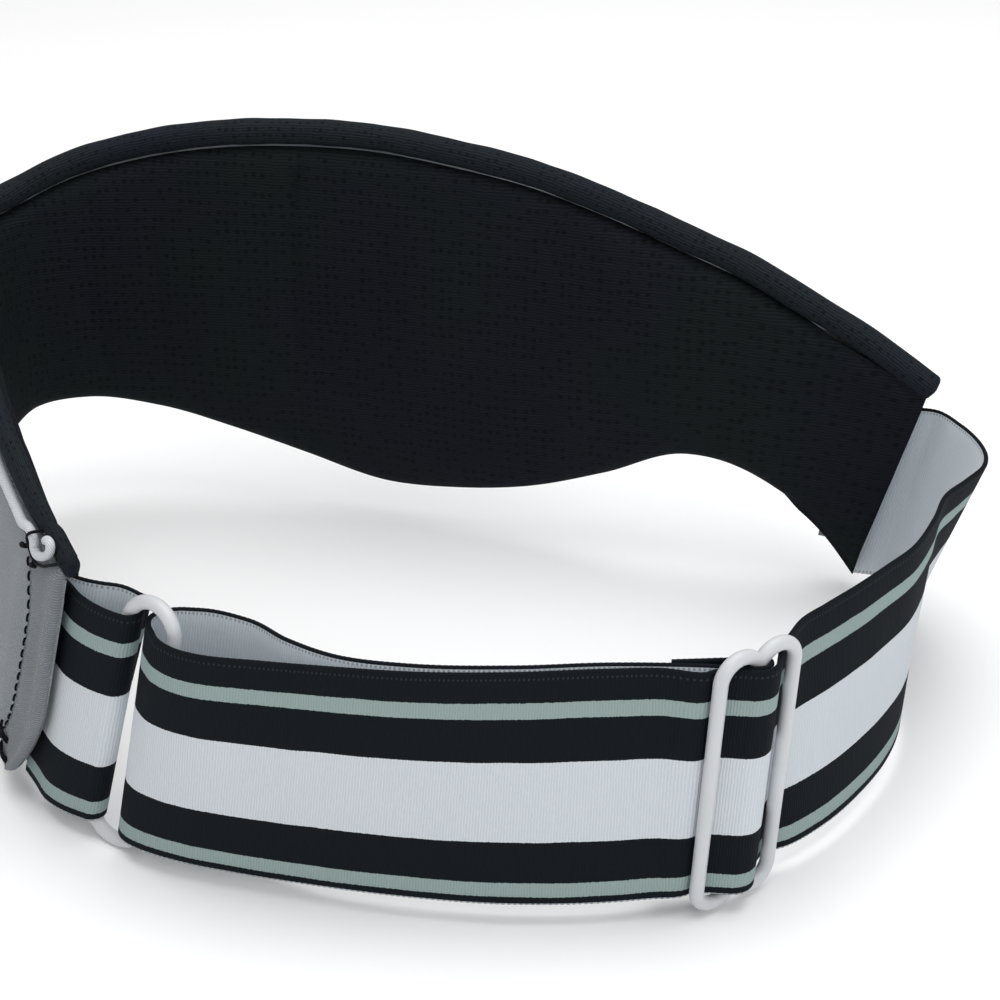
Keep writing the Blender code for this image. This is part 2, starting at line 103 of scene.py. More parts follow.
# Bars of the hardware, each as its plan place at the elastic's lower edge and at its upper edge.
RING_LEFT = ((-47.2, -49.7), (-37.4, -53.2))
RING_RIGHT = ((-38.3, -56.6), (-29.6, -61.0))
RING_ALONG = (0.73, -0.68)
RING_TOP, RING_BOTTOM = 41.0, -2.3
SLIDER_CENTRE = ((50.6, -69.3), (52.9, -69.7))
SLIDER_HALF = 6.9
SLIDER_ALONG = (0.813, 0.581)
SLIDER_TOP, SLIDER_BOTTOM = 39.5, -1.7

# Runs of elastic outside the pad: plan x, y of the lower edge, then of the upper edge.
RING_FOLD = [
    (-36.6, -51.6, -29.6, -52.6),
    (-39.2, -51.9, -31.9, -52.9),
    (-41.2, -53.0, -33.5, -53.9),
    (-41.9, -54.7, -34.2, -55.5),
    (-41.5, -56.3, -34.0, -57.4),
    (-40.4, -57.8, -33.2, -59.6),
    (-38.6, -59.2, -32.2, -61.9),
]
SHORT_BACK = [
    (-46.3, -47.2, -35.1, -50.0),
    (-48.0, -45.2, -36.9, -47.7),
    (-50.5, -42.8, -40.2, -45.1),
    (-52.9, -41.7, -43.4, -44.1),
]
FRONT_RUN = [
    (-37.8, -59.7, -31.6, -62.7),
    (-35.6, -60.9, -29.8, -64.5),
    (-31.4, -62.8, -26.2, -66.5),
    (-22.5, -65.8, -16.9, -68.6),
    (-13.1, -68.4, -8.5, -70.1),
    (1.8, -71.8, 5.5, -72.1),
    (16.5, -73.9, 18.8, -72.4),
    (30.4, -73.9, 31.9, -71.7),
    (38.4, -73.0, 39.7, -71.7),
]
BACK_RUN = [
    (-35.6, -51.5, -28.8, -52.7),
    (-31.6, -51.9, -25.4, -53.3),
    (-26.0, -54.4, -19.7, -56.2),
    (-18.0, -60.6, -13.4, -62.3),
    (-9.0, -66.0, -5.8, -67.3),
    (2.2, -69.6, 4.8, -69.9),
    (16.5, -71.8, 18.8, -70.6),
    (30.4, -71.9, 32.2, -70.0),
]
TAIL_RUN = [
    (60.0, -60.0, 60.4, -58.0),
    (65.9, -54.9, 64.9, -53.0),
    (73.6, -45.4, 70.8, -46.8),
    (78.3, -37.9, 75.7, -41.2),
    (81.8, -30.0, 81.6, -34.0),
    (84.0, -21.6, 86.6, -24.2),
    (84.6, -13.0, 90.2, -15.6),
    (85.2, -5.4, 94.8, -9.9),
    (87.8, 4.2, 99.3, -3.4),
    (91.2, 14.6, 100.3, 5.3),
    (92.6, 22.9, 98.6, 13.4),
    (89.6, 28.2, 95.9, 19.6),
]
# Threading of the elastic through the slider: distance along it and outward of its centre bar.
WAVE = [
    (-8.0, -1.85), (-6.4, -1.65), (-4.6, -0.35), (-2.9, 1.2), (-1.5, 2.35), (0.0, 2.75),
    (1.5, 2.35), (2.9, 1.2), (4.6, -0.4), (6.4, -1.95), (8.2, -2.75),
]
WRAP = [
    (-7.4, -4.3), (-5.9, -3.0), (-4.0, -0.95), (-2.2, 0.6), (-1.2, 1.3), (0.0, 1.75),
    (1.25, 1.25), (1.75, 0.0), (1.25, -1.25), (0.0, -1.8), (-2.2, -2.65), (-4.5, -4.1), (-7.0, -5.7),
    (-9.6, -7.4),
]
WRAP_SEAM = (-8.2, -7.0)

# The pad's section: half its thickness, how far below its upper edge its sheets end, and its rounded edges.
HALF_PAD = 3.2
SHEET_DROP = 5.4
SHEET_THICK = 1.0
LOW_ROUND, TOP_ROUND = 4.2, 3.4
CROWN = 0.9
SEAM_HALF = 0.15
SEWN_HALF = 2.35
SEWN_ZONE = (12.0, 17.0)
SWELL_LIMIT = 1.5
COVER_OVER_RIM, COVER_TOP_INSET, COVER_CLIMB = 3.3, 0.7, 1.5
COVER_THICK, COVER_END_OFFSET = 0.9, 3.0
LEFT_THINNING = 0.4
RECESS_DEPTH, RECESS_HEIGHT, RECESS_RUN = 9.5, 18.0, 25.0


# Plan and surface helpers.

def side_by_side(*values):
    """Values spread over one grid, and joined on a new last axis."""
    return np.stack(np.broadcast_arrays(*values), axis=-1)


def place(x, y, z):
    """Points of the design in metres, in the part's own frame."""
    x, y, z = np.broadcast_arrays(x, y, z)
    return side_by_side(x - PLAN_CENTRE[0], y - PLAN_CENTRE[1], z + LIFT) * MM


def ease(x, start, end):
    """From 0 at start to 1 at end, smoothly."""
    t = np.clip((np.asarray(x, float) - start) / (end - start), 0.0, 1.0)
    return t * t * (3.0 - 2.0 * t)


def read_rows(at, known, rows):
    """Rows known at some distances, read at others."""
    return np.array([np.interp(at, known, column) for column in rows.T]).T


def smooth_run(rows, pitch):
    """Even steps along a smooth curve through the rows, and the step at which each row falls.
    The first two columns measure its length."""
    rows = np.array(rows, float)
    at = np.concatenate([[0.0], np.cumsum(np.hypot(*np.diff(rows[:, :2], axis=0).T))])
    slope = np.gradient(rows, at, axis=0)
    fine = np.linspace(0.0, at[-1], 80 * len(rows))
    piece = np.clip(np.searchsorted(at, fine, side="right") - 1, 0, len(at) - 2)
    span = (at[piece + 1] - at[piece])[:, None]
    t = ((fine - at[piece])[:, None]) / span
    curve = (
        (2 * t**3 - 3 * t**2 + 1) * rows[piece]
        + (t**3 - 2 * t**2 + t) * span * slope[piece]
        + (-2 * t**3 + 3 * t**2) * rows[piece + 1]
        + (t**3 - t**2) * span * slope[piece + 1]
    )
    run = np.concatenate([[0.0], np.cumsum(np.hypot(*np.diff(curve[:, :2], axis=0).T))])
    even = np.linspace(0.0, run[-1], int(round(run[-1] / pitch)) + 1)
    return read_rows(even, run, curve), np.interp(at, fine, run) / even[1], even


def outward(xy):
    """Unit vectors to the right of a run of plan points."""
    along = np.gradient(xy, axis=0)
    along /= np.linalg.norm(along, axis=1)[:, None]
    return np.stack([along[:, 1], -along[:, 0]], axis=1)


PAD_FINE, _, PAD_RUN = smooth_run(PAD, 0.5)
PAD_OUT = outward(PAD_FINE[:, :2])
PAD_LENGTH = PAD_RUN[-1]
COVER_END = PAD_LENGTH - COVER_LEFT_SHORTER


def pad_edges(distance):
    """Lower and upper edge heights along the pad."""
    return np.interp(distance, PAD_RUN, PAD_FINE[:, 2]), np.interp(distance, PAD_RUN, PAD_FINE[:, 3])


def pad_plan(distance, height, offset):
    """Plan place of a point on the pad. Before its right end, at negative distances, it goes on straight."""
    x, y, lean_x, lean_y = (np.interp(distance, PAD_RUN, PAD_FINE[:, i]) for i in (0, 1, 4, 5))
    out_x, out_y = (np.interp(distance, PAD_RUN, PAD_OUT[:, i]) for i in (0, 1))
    past = np.minimum(distance, 0.0)
    x, y = x - out_y * past, y + out_x * past
    return x + out_x * offset + lean_x * height, y + out_y * offset + lean_y * height


def pad_surface(distance, height, offset):
    """Points on the pad in metres."""
    x, y = pad_plan(distance, height, offset)
    return place(x, y, height)


def pad_outward(distance):
    out = np.stack([np.interp(distance, PAD_RUN, PAD_OUT[:, i]) for i in (0, 1)], axis=-1)
    return np.concatenate([out, np.zeros((*out.shape[:-1], 1))], axis=-1)


def pad_row(distance, offset):
    """Where elastic lies between the pad's layers: plan places of its lower and upper edges."""
    return (*pad_plan(distance, 0.0, offset), *pad_plan(distance, STRAP_WIDTH, offset))


def bar_at(bar, height):
    """Plan place of a leaning bar at a height."""
    part = height / STRAP_WIDTH
    return tuple(low + (high - low) * part for low, high in zip(*bar))


def about_bar(bar, along, steps):
    """Rows of elastic at (distance along, distance outward) steps from a leaning bar."""
    out = (along[1], -along[0])
    rows = []
    for a, b in steps:
        dx = a * along[0] + b * out[0]
        dy = a * along[1] + b * out[1]
        rows.append((bar[0][0] + dx, bar[0][1] + dy, bar[1][0] + dx, bar[1][1] + dy))
    return rows


def fold_steps():
    """A U round a bar, which opens backwards along the run."""
    angles = [math.pi / 2 - math.pi * i / FOLD_STEPS for i in range(FOLD_STEPS + 1)]
    return [(FOLD_RADIUS * math.cos(a), FOLD_RADIUS * math.sin(a)) for a in angles]


# Mesh helpers. A part is (points, uv, wrap, caps): a grid of points by row and column, uv in millimetres with
# one more row than points where wrap joins the last row to the first, and caps to close its two ends.

def tube_part(path, radius, reference, sides=14, closed=False, end_round=1.0, flat=1.0):
    """A swept circle. reference is a direction, or one for each point, that the section starts from, and
    end_round is how far the ends are rounded, as a share of the radius. flat squeezes it along reference."""
    path = np.asarray(path, float)
    if closed:
        tangent = np.roll(path, -1, axis=0) - np.roll(path, 1, axis=0)
    else:
        tangent = np.gradient(path, axis=0)
    tangent /= np.linalg.norm(tangent, axis=1)[:, None]
    first = np.broadcast_to(np.asarray(reference, float), path.shape)
    first = first - (first * tangent).sum(axis=1)[:, None] * tangent
    first /= np.linalg.norm(first, axis=1)[:, None]
    second = np.cross(tangent, first)
    run = np.concatenate([[0.0], np.cumsum(np.linalg.norm(np.diff(path, axis=0), axis=1))]) / MM
    radii = np.broadcast_to(np.asarray(radius, float), (len(path),)).copy()
    if not closed:
        for edge in (run, run[-1] - run):
            near = np.clip(edge / (end_round * radii.max()), 0.0, 1.0)
            radii *= np.sqrt(np.clip(1.0 - (1.0 - near) ** 2, 0.02, 1.0))
    angles = np.linspace(0.0, 2 * math.pi, sides, endpoint=False)[:, None, None]
    first = first * np.broadcast_to(np.asarray(flat, float), (len(path),))[:, None]
    points = path + MM * radii[:, None] * (np.cos(angles) * first + np.sin(angles) * second)
    turn = np.linspace(0.0, 2 * math.pi * radii.max(), sides + 1)
    uv = side_by_side(run[None, :], turn[:, None])
    if closed:
        points = np.concatenate([points, points[:, :1]], axis=1)
        last = run[-1] + np.linalg.norm(path[0] - path[-1]) / MM
        uv = np.concatenate([uv, np.stack([np.full(sides + 1, last), turn], axis=-1)[:, None]], axis=1)
    return points, uv, True, not closed


SHARP_ANGLE = math.radians(70)


def piece(name, parts, looks, body, slot, replaces, reverse_from=None, blend=None):
    """One visible piece from its parts. Section rows from reverse_from on wear the second material."""
    verts, faces, uvs, kinds = [], [], [], []
    count = 0
    for points, uv, wrap, caps in parts:
        rows, columns = points.shape[:2]
        index = count + np.arange(rows * columns).reshape(rows, columns)
        spot = np.arange(uv.shape[0] * columns).reshape(-1, columns)
        if wrap:
            index = np.vstack([index, index[:1]])
        corners = [(slice(None, -1), slice(None, -1)), (slice(None, -1), slice(1, None))]
        corners += [(slice(1, None), slice(1, None)), (slice(1, None), slice(None, -1))]
        faces += np.stack([index[c] for c in corners], axis=-1).reshape(-1, 4).tolist()
        flat = uv.reshape(-1, 2)
        uvs.append(flat[np.stack([spot[c] for c in corners], axis=-1).reshape(-1)])
        row_of = np.repeat(np.arange(index.shape[0] - 1), columns - 1)
        kinds += (row_of >= reverse_from).astype(int).tolist() if reverse_from else [0] * len(row_of)
        if caps:
            for column in (0, columns - 1):
                ring = index[:rows, column]
                faces.append(ring.tolist())
                uvs.append(flat[spot[:rows, column]])
                kinds.append(0)
        verts += points.reshape(-1, 3).tolist()
        count += rows * columns
    mesh = bpy.data.meshes.new(name)
    mesh.from_pydata(verts, [], faces)
    layer = mesh.uv_layers.new(name="weave")
    layer.data.foreach_set("uv", np.concatenate(uvs).astype(np.float32).ravel())
    mesh.polygons.foreach_set("material_index", kinds)
    built = bmesh.new()
    built.from_mesh(mesh)
    bmesh.ops.remove_doubles(built, verts=built.verts, dist=1e-7)
    bmesh.ops.recalc_face_normals(built, faces=built.faces)
    built.to_mesh(mesh)
    built.free()
    mesh.shade_smooth()
    mesh.set_sharp_from_angle(angle=SHARP_ANGLE)
    thing = bpy.data.objects.new(name, mesh)
    bpy.context.scene.collection.objects.link(thing)
    for look in looks:
        mesh.materials.append(look)
    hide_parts(*replaces)
    if blend:
        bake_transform(thing)
    else:
        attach(thing, body)
    return thing


# Materials.

def paint(red, green, blue):
    """A screen colour, 0 to 255, as the linear colour that a shader takes."""
    linear = [((c / 255 + 0.055) / 1.055) ** 2.4 if c > 10 else c / 255 / 12.92 for c in (red, green, blue)]
    return (*linear, 1.0)


class Look:
    """A material, with short calls for the nodes that feed its shader."""

    def __init__(self, name, roughness, **sockets):
        self.material = bpy.data.materials.new(name)
        self.material.use_nodes = True
        self.tree = self.material.node_tree
        self.shader = self.tree.nodes["Principled BSDF"]
        self.shader.inputs["Roughness"].default_value = roughness
        for socket, value in sockets.items():
            self.shader.inputs[socket.replace("_", " ")].default_value = value

    def node(self, kind, inputs=(), **settings):
        made = self.tree.nodes.new(kind)
        for name, value in settings.items():
            setattr(made, name, value)
        for key, value in dict(inputs).items():
            self.feed(made.inputs[key], value)
        return made

    def feed(self, socket, value):
        if isinstance(value, bpy.types.NodeSocket):
            self.tree.links.new(value, socket)
        else:
            socket.default_value = value

    def calc(self, operation, a, b=0.0, c=0.0):
        """One Math node."""
        return self.node("ShaderNodeMath", {0: a, 1: b, 2: c}, operation=operation).outputs[0]

    def times(self, a, b):
        return self.calc("MULTIPLY", a, b)

    def plus(self, a, b):
        return self.calc("ADD", a, b)

    def climb(self, value, start, end, top=1.0):
        """From 0 where value is start to top where it is end."""
        inputs = {0: value, 1: start, 2: end, 4: top}
        return self.node("ShaderNodeMapRange", inputs).outputs[0]

    def between(self, value, low, high, soft):
        """1 where value lies between low and high, with soft edges."""
        rising = self.climb(value, low - soft, low + soft)
        return self.times(rising, self.climb(value, high + soft, high - soft))

    def mix(self, factor, a, b):
        made = self.node("ShaderNodeMix", {"Factor": factor}, data_type="RGBA")
        self.feed(made.inputs[6], a)
        self.feed(made.inputs[7], b)
        return made.outputs[2]

    def weave(self):
        """The piece's own map, in millimetres: along it and across it."""
        uv = self.node("ShaderNodeUVMap", uv_map="weave").outputs["UV"]
        split = self.node("ShaderNodeSeparateXYZ", {0: uv})
        return uv, split.outputs[0], split.outputs[1]

    def noise(self, vector, scale, detail=3.0, roughness=0.6):
        inputs = {"Vector": vector, "Scale": scale, "Detail": detail, "Roughness": roughness}
        return self.node("ShaderNodeTexNoise", inputs).outputs["Fac"]

    def place(self):
        return self.node("ShaderNodeTexCoord").outputs["Object"]

    def wave(self, value, pitch):
        """A wave from 0 to 1 that repeats every pitch."""
        turned = self.calc("SINE", self.times(value, 2 * math.pi / pitch))
        return self.calc("MULTIPLY_ADD", turned, 0.5, 0.5)

    def finish(self, colour, height=None, depth=0.1, strength=1.0, roughness=None):
        """Colour, and a height from 0 to 1 that stands depth millimetres proud."""
        self.feed(self.shader.inputs["Base Color"], colour)
        if roughness is not None:
            self.feed(self.shader.inputs["Roughness"], roughness)
        if height is not None:
            inputs = {"Height": height, "Strength": strength, "Distance": depth * MM}
            bump = self.node("ShaderNodeBump", inputs)
            self.feed(self.shader.inputs["Normal"], bump.outputs[0])
        return self.material


def mesh_knit_look(name, dark, other, thread, hole_pitch, depth):
    """Black spacer mesh: rows of small holes in a fine knit, with the dye drifting between two blacks."""
    look = Look(name, 0.86, Specular_IOR_Level=0.08)
    uv, _, across = look.weave()
    holes = look.node(
        "ShaderNodeTexVoronoi", {"Vector": uv, "Scale": 1.0 / hole_pitch, "Randomness": 0.34}
    ).outputs["Distance"]
    hole = look.climb(holes, 0.16, 0.34)
    rows = look.wave(look.plus(across, look.times(look.noise(uv, 0.5), 0.8)), 0.55)
    grain = look.noise(uv, 2.6, 4.0, 0.7)
    patch = look.climb(look.noise(look.place(), 26.0, 2.0), 0.40, 0.62)
    share = look.times(look.times(rows, grain), 0.5)
    lit = look.mix(share, look.mix(patch, dark, other), thread)
    # The holes are painted near black: painted shade inside them, with the lit knit between.
    colour = look.mix(look.calc("MULTIPLY_ADD", hole, 0.6, 0.4), paint(7, 9, 11), lit)
    height = look.plus(look.times(hole, 0.6), look.times(rows, 0.35))
    height = look.plus(height, look.times(grain, 0.3))
    rough = look.calc("MULTIPLY_ADD", grain, 0.2, 0.76)
    return look.finish(colour, height, depth, 0.8, rough)


SOFT_KNIT = {"Specular_IOR_Level": 0.2, "Sheen_Weight": 0.25, "Sheen_Roughness": 0.4}


def rib_knit_look():
    """Light-grey cover knit: fine ribs along the pad, crossed by the knit's own columns."""
    look = Look("cover_knit_grey", 0.85, **SOFT_KNIT)
    uv, along, across = look.weave()
    wander = look.times(look.noise(uv, 0.35), 0.35)
    ribs = look.wave(look.plus(across, wander), 0.42)
    columns = look.wave(along, 0.5)
    # Lighter and darker patches at random over the cover: partly the knit's own uneven tone, partly painted
    # highlight where the cover puffs up.
    tone_and_highlight = look.noise(look.place(), 55.0, 4.0)
    grain = look.noise(uv, 2.4, 3.0)
    base = look.mix(tone_and_highlight, paint(129, 136, 142), paint(156, 162, 167))
    shade = look.calc("MULTIPLY_ADD", look.times(ribs, grain), 0.5, 0.12)
    colour = look.mix(shade, look.mix(grain, paint(97, 103, 109), base), base)
    height = look.plus(ribs, look.times(columns, 0.35))
    return look.finish(colour, height, 0.10, 0.9)


def hem_look():
    """The folded hem: ribs that meet at a ridge, as the knit turns over the edge."""
    look = Look("cover_hem_grey", 0.82, **SOFT_KNIT)
    uv, along, across = look.weave()
    slant = look.times(look.calc("ABSOLUTE", along), 0.62)
    ribs = look.wave(look.plus(across, slant), 0.40)
    grain = look.noise(uv, 2.2, 3.0)
    # Lighter and darker patches at random: partly the knit's own uneven tone, partly painted highlight on the
    # hem.
    base = look.mix(look.noise(look.place(), 80.0, 3.0), paint(128, 135, 141), paint(164, 169, 174))
    shade = look.calc("MULTIPLY_ADD", look.times(ribs, grain), 0.7, 0.25)
    colour = look.mix(shade, paint(88, 94, 100), base)
    return look.finish(colour, ribs, 0.16, 0.9)


def cord_look(name, low, high, pitch, roughness=0.75, sheen=0.2):
    """A covered cord: fine threads laid at a slant round it."""
    look = Look(name, roughness, Specular_IOR_Level=sheen, Sheen_Weight=sheen, Sheen_Roughness=0.4)
    uv, along, across = look.weave()
    twill = look.wave(look.plus(along, look.times(across, 0.8)), pitch)
    grain = look.noise(uv, 2.8, 3.0)
    colour = look.mix(look.calc("MULTIPLY_ADD", look.times(twill, grain), 1.1, 0.2), low, high)
    return look.finish(colour, twill, 0.09, 0.9)


# Bands across the elastic, from its lower edge: where each starts, and its colour.
BLACK, GREEN, WHITE = paint(19, 24, 29), paint(146, 163, 161), paint(205, 211, 216)
STRIPES = [
    (0.0, BLACK), (0.039, GREEN), (0.098, BLACK), (0.28, WHITE),
    (0.625, BLACK), (0.807, GREEN), (0.874, BLACK),
]
RIB_PITCH = 0.43
DOT_PITCH = 0.72


def elastic_look():
    """The elastic's striped face: ribs across it, bands that fray a little where they meet."""
    look = Look("elastic_face", 0.82, Specular_IOR_Level=0.08)
    uv, along, across = look.weave()
    fray = look.calc("MULTIPLY_ADD", look.noise(uv, 3.2, 2.0), 0.30, -0.15)
    slow = look.calc("MULTIPLY_ADD", look.noise(uv, 0.12, 1.0), 0.30, -0.15)
    share = look.calc("DIVIDE", look.plus(across, look.plus(fray, slow)), STRAP_WIDTH)
    ramp = look.node("ShaderNodeValToRGB", {0: share})
    ramp.color_ramp.interpolation = "CONSTANT"
    for index, (start, colour) in enumerate(STRIPES):
        stop = ramp.color_ramp.elements[index] if index < 2 else ramp.color_ramp.elements.new(start)
        stop.position = start
        stop.color = colour
    bands = ramp.outputs[0]
    ribs = look.wave(look.plus(along, look.times(look.noise(uv, 0.7), 0.3)), RIB_PITCH)
    grain = look.noise(uv, 2.3, 4.0, 0.7)
    shade = look.times(look.times(ribs, grain), 0.30)
    darker = look.node("ShaderNodeMix", {"Factor": shade}, data_type="RGBA", blend_type="MULTIPLY")
    look.feed(darker.inputs[6], bands)
    look.feed(darker.inputs[7], paint(150, 154, 158))
    beat = look.wave(along, DOT_PITCH)
    dots = look.times(look.between(across, 36.8, 37.1, 0.08), look.calc("GREATER_THAN", beat, 0.72))
    colour = look.mix(look.times(dots, 0.2), darker.outputs[2], paint(96, 106, 112))
    height = look.plus(ribs, look.times(grain, 0.8))
    return look.finish(colour, height, 0.07, 0.8)


def reverse_look():
    """The elastic's plain reverse: light grey, finely ribbed, with a dark thread hooked along each edge."""
    look = Look("elastic_reverse", 0.85, Specular_IOR_Level=0.2, Sheen_Weight=0.15, Sheen_Roughness=0.4)
    uv, along, across = look.weave()
    ribs = look.wave(look.plus(along, look.times(look.noise(uv, 0.7), 0.35)), 0.5)
    grain = look.noise(uv, 1.8, 4.0, 0.7)
    base = look.mix(look.times(ribs, grain), paint(207, 214, 220), paint(180, 189, 196))
    beat = look.calc("GREATER_THAN", look.wave(along, DOT_PITCH), 0.55)
    ticks = look.plus(look.between(across, 37.05, 37.5, 0.08), look.between(across, 0.5, 0.95, 0.08))
    edge = look.plus(look.calc("GREATER_THAN", across, 37.72), look.calc("LESS_THAN", across, 0.28))
    marked = look.mix(look.times(look.times(ticks, beat), 0.5), base, paint(52, 60, 68))
    colour = look.mix(edge, marked, BLACK)
    height = look.plus(ribs, look.times(grain, 0.8))
    return look.finish(colour, height, 0.06, 0.8)


def coated_wire_look():
    """Off-white nylon coating over steel wire: smooth, faintly uneven, dulled by handling."""
    look = Look("nylon_coating", 0.36, Specular_IOR_Level=0.5, Coat_Weight=0.12, Coat_Roughness=0.25)
    spot = look.place()
    wear = look.noise(spot, 240.0, 5.0, 0.7)
    cloud = look.noise(spot, 60.0, 2.0)
    clean = look.mix(cloud, paint(190, 192, 196), paint(202, 204, 207))
    colour = look.mix(look.climb(wear, 0.60, 0.78, 0.35), clean, paint(168, 170, 174))
    rough = look.calc("MULTIPLY_ADD", wear, 0.30, 0.24)
    return look.finish(colour, look.noise(spot, 900.0, 3.0), 0.02, 0.4, rough)


def foam_look():
    look = Look("open_cell_foam", 0.95, Specular_IOR_Level=0.1)
    spot = look.place()
    cells = look.node("ShaderNodeTexVoronoi", {"Vector": spot, "Scale": 1600.0}).outputs["Distance"]
    tone = look.noise(spot, 90.0, 3.0)
    colour = look.mix(tone, paint(196, 194, 184), paint(214, 212, 203))
    # The cells' hollows are painted darker: painted shade in the pores.
    return look.finish(look.mix(cells, paint(120, 118, 110), colour), cells, 0.25, 0.8)


def floor_look():
    look = Look("studio_floor", 0.9, Specular_IOR_Level=0.1)
    tone = look.noise(look.place(), 3.0, 2.0)
    return look.finish(look.mix(tone, paint(250, 250, 251), paint(252, 252, 252)))


LINING_BLACKS = (paint(18, 23, 24), paint(17, 18, 27), paint(44, 50, 54))
RIM_BLACKS = (paint(22, 27, 30), paint(20, 24, 32), paint(62, 70, 76))
LINING_LOOK = mesh_knit_look("lining_mesh_black", *LINING_BLACKS, 1.9, 0.14)
RIM_LOOK = mesh_knit_look("rim_mesh_black", *RIM_BLACKS, 1.5, 0.09)
COVER_LOOK = rib_knit_look()
HEM_LOOK = hem_look()
PIPING_LOOK = cord_look("piping_white", paint(176, 181, 187), paint(226, 229, 232), 0.42)
FILLER_LOOK = cord_look("filler_cord_white", paint(150, 150, 146), paint(205, 204, 198), 1.1, 0.9)
THREAD_LOOK = cord_look("thread_black", paint(8, 9, 11), paint(20, 22, 26), 0.34, 0.7, 0.04)
FACE_LOOK = elastic_look()
REVERSE_LOOK = reverse_look()
WIRE_LOOK = coated_wire_look()
FOAM_LOOK = foam_look()


# The pad: a foam core swollen by cloth simulation, with the lining and the cover drawn over it.

SIM_COLUMNS, SIM_ROWS = 172, 17
SIM_FRAMES = 20
SIM_MASS, SIM_PRESSURE = 0.3, 4.0
FOAM_INSET, FOAM_GAP, FOAM_THINNEST = 1.3, 0.25, 0.12
SHEET_COLUMNS, SHEET_ROWS = 300, 40
SHEET_INNERMOST = 0.05


def near_ends(distance):
    """1 where elastic is sewn between the sheets at either end of the pad, 0 along the rest."""
    nearest = np.minimum(distance, PAD_LENGTH - distance)
    return 1.0 - ease(nearest, *SEWN_ZONE)


def inner_share(distance):
    """How much of its half thickness the pad keeps on its inner side, as it thins towards its left end."""
    return 1.0 - LEFT_THINNING * ease(distance, PAD_LENGTH - 60.0, PAD_LENGTH - 22.0)


def half_thickness(distance, height, low, top):
    """Half the pad's thickness: full in the middle, rounded at its lower edge and under the rim."""
    low_share = np.clip((height - low) / LOW_ROUND, 0.0, 1.0)
    top_share = np.clip((top - height) / TOP_ROUND, 0.0, 1.0)
    rounding = np.sqrt(1 - (1 - low_share) ** 2) * np.sqrt(1 - (1 - top_share) ** 2)
    sewn = near_ends(distance)
    crown = CROWN * np.sin(math.pi * np.clip((height - low) / (top - low), 0.0, 1.0)) * (1.0 - sewn)
    return np.maximum(HALF_PAD * rounding + crown, np.maximum(SEAM_HALF, SEWN_HALF * sewn))


def sheet_heights(distance, rows, low_inset=0.0, top_inset=0.0):
    """Rows of heights from the pad's lower edge to just under the rim, closest together at the edges."""
    low, high = pad_edges(distance)
    share = 0.5 - 0.5 * np.cos(np.linspace(0.0, math.pi, rows + 1))[:, None]
    share = 0.8 * share + 0.2 * np.linspace(0.0, 1.0, rows + 1)[:, None]
    start = low + low_inset
    return start + (high - SHEET_DROP - top_inset - start) * share, low, high - SHEET_DROP


def closed_sheet(distance, height, outer, inner, side):
    """A sheet with thickness, as one part: its face at offset side * outer and its back at side * inner."""
    face = pad_surface(distance, height, side * outer)
    back = pad_surface(distance, height, side * inner)
    points = np.concatenate([face, back[::-1]])
    rise = np.concatenate([height, height[::-1], height[:1]])
    run = np.broadcast_to(distance, height.shape)
    run = np.concatenate([run, run[::-1], run[:1]])
    return points, side_by_side(run, rise), True, True


def swell_foam():
    """The foam core, and how far the simulation moved each row of its faces outward of the plain shape."""
    distance = np.linspace(FOAM_SETBACK, COVER_END - FOAM_SETBACK, SIM_COLUMNS + 1)
    height, low, top = sheet_heights(distance, SIM_ROWS, FOAM_INSET, FOAM_INSET)
    half = half_thickness(distance, height, low, top)
    half = np.maximum(half - SHEET_THICK - FOAM_GAP, FOAM_THINNEST)
    part = closed_sheet(distance, height, half * inner_share(distance), -half, -1)
    foam = piece("foam_core", [part], [FOAM_LOOK], "root", "foam", ["foam_pad"])
    rest = np.array([v.co for v in foam.data.vertices])
    across = np.broadcast_to(pad_outward(distance)[None], (*height.shape, 3)).reshape(-1, 3)
    out = np.concatenate([across, across.reshape(*height.shape, 3)[::-1].reshape(-1, 3)])
    moved = np.zeros(len(rest))
    scene = bpy.context.scene
    rows = len(height)
    edge = np.zeros((2 * rows, height.shape[1]), bool)
    edge[[0, rows - 1, rows, 2 * rows - 1], :] = True
    edge[:, [0, -1]] = True
    group = foam.vertex_groups.new(name="seams")
    group.add(np.flatnonzero(edge.ravel()).tolist(), 1.0, "REPLACE")
    cloth = foam.modifiers.new("Cloth", "CLOTH")
    settings = cloth.settings
    settings.quality = 5
    settings.mass = SIM_MASS
    settings.use_pressure = True
    settings.uniform_pressure_force = SIM_PRESSURE
    settings.effector_weights.gravity = 0.0
    settings.vertex_group_mass = "seams"
    cloth.point_cache.frame_start = 1
    cloth.point_cache.frame_end = SIM_FRAMES
    for step in range(1, SIM_FRAMES + 1):
        scene.frame_set(step)
    evaluated = foam.evaluated_get(bpy.context.evaluated_depsgraph_get())
    swollen = np.array([v.co for v in evaluated.data.vertices])
    foam.modifiers.remove(cloth)
    scene.frame_set(1)
    moved = ((swollen - rest) * out).sum(axis=1) / MM
    moved = SWELL_LIMIT * np.tanh(moved / SWELL_LIMIT)
    foam.data.vertices.foreach_set("co", (rest + MM * moved[:, None] * out).astype(np.float32).ravel())
    smooth = foam.modifiers.new("Smooth", "SUBSURF")
    smooth.levels = 1
    smooth.render_levels = 1
    count = height.size
    inner = -moved[:count].reshape(height.shape)
    outer = moved[count:].reshape(height.shape)[::-1]
    return distance, inner, outer


def spread(field, at, distance, share):
    """A field known by row at the simulated distances, read at other distances and shares of the height."""
    rows = np.array([np.interp(distance, at, row, left=0.0, right=0.0) for row in field])
    return read_rows(share, np.linspace(0.0, 1.0, len(field)), rows)


def undulation(distance, height, seed):
    """Slow unevenness of hand-sewn cloth, in millimetres."""
    wave = 0.32 * np.sin(distance / 9.0 + seed) * np.sin(height / 13.0 + 0.7 * seed)
    return wave + 0.18 * np.sin(distance / 4.1 + height / 7.0 + 2.0 * seed)


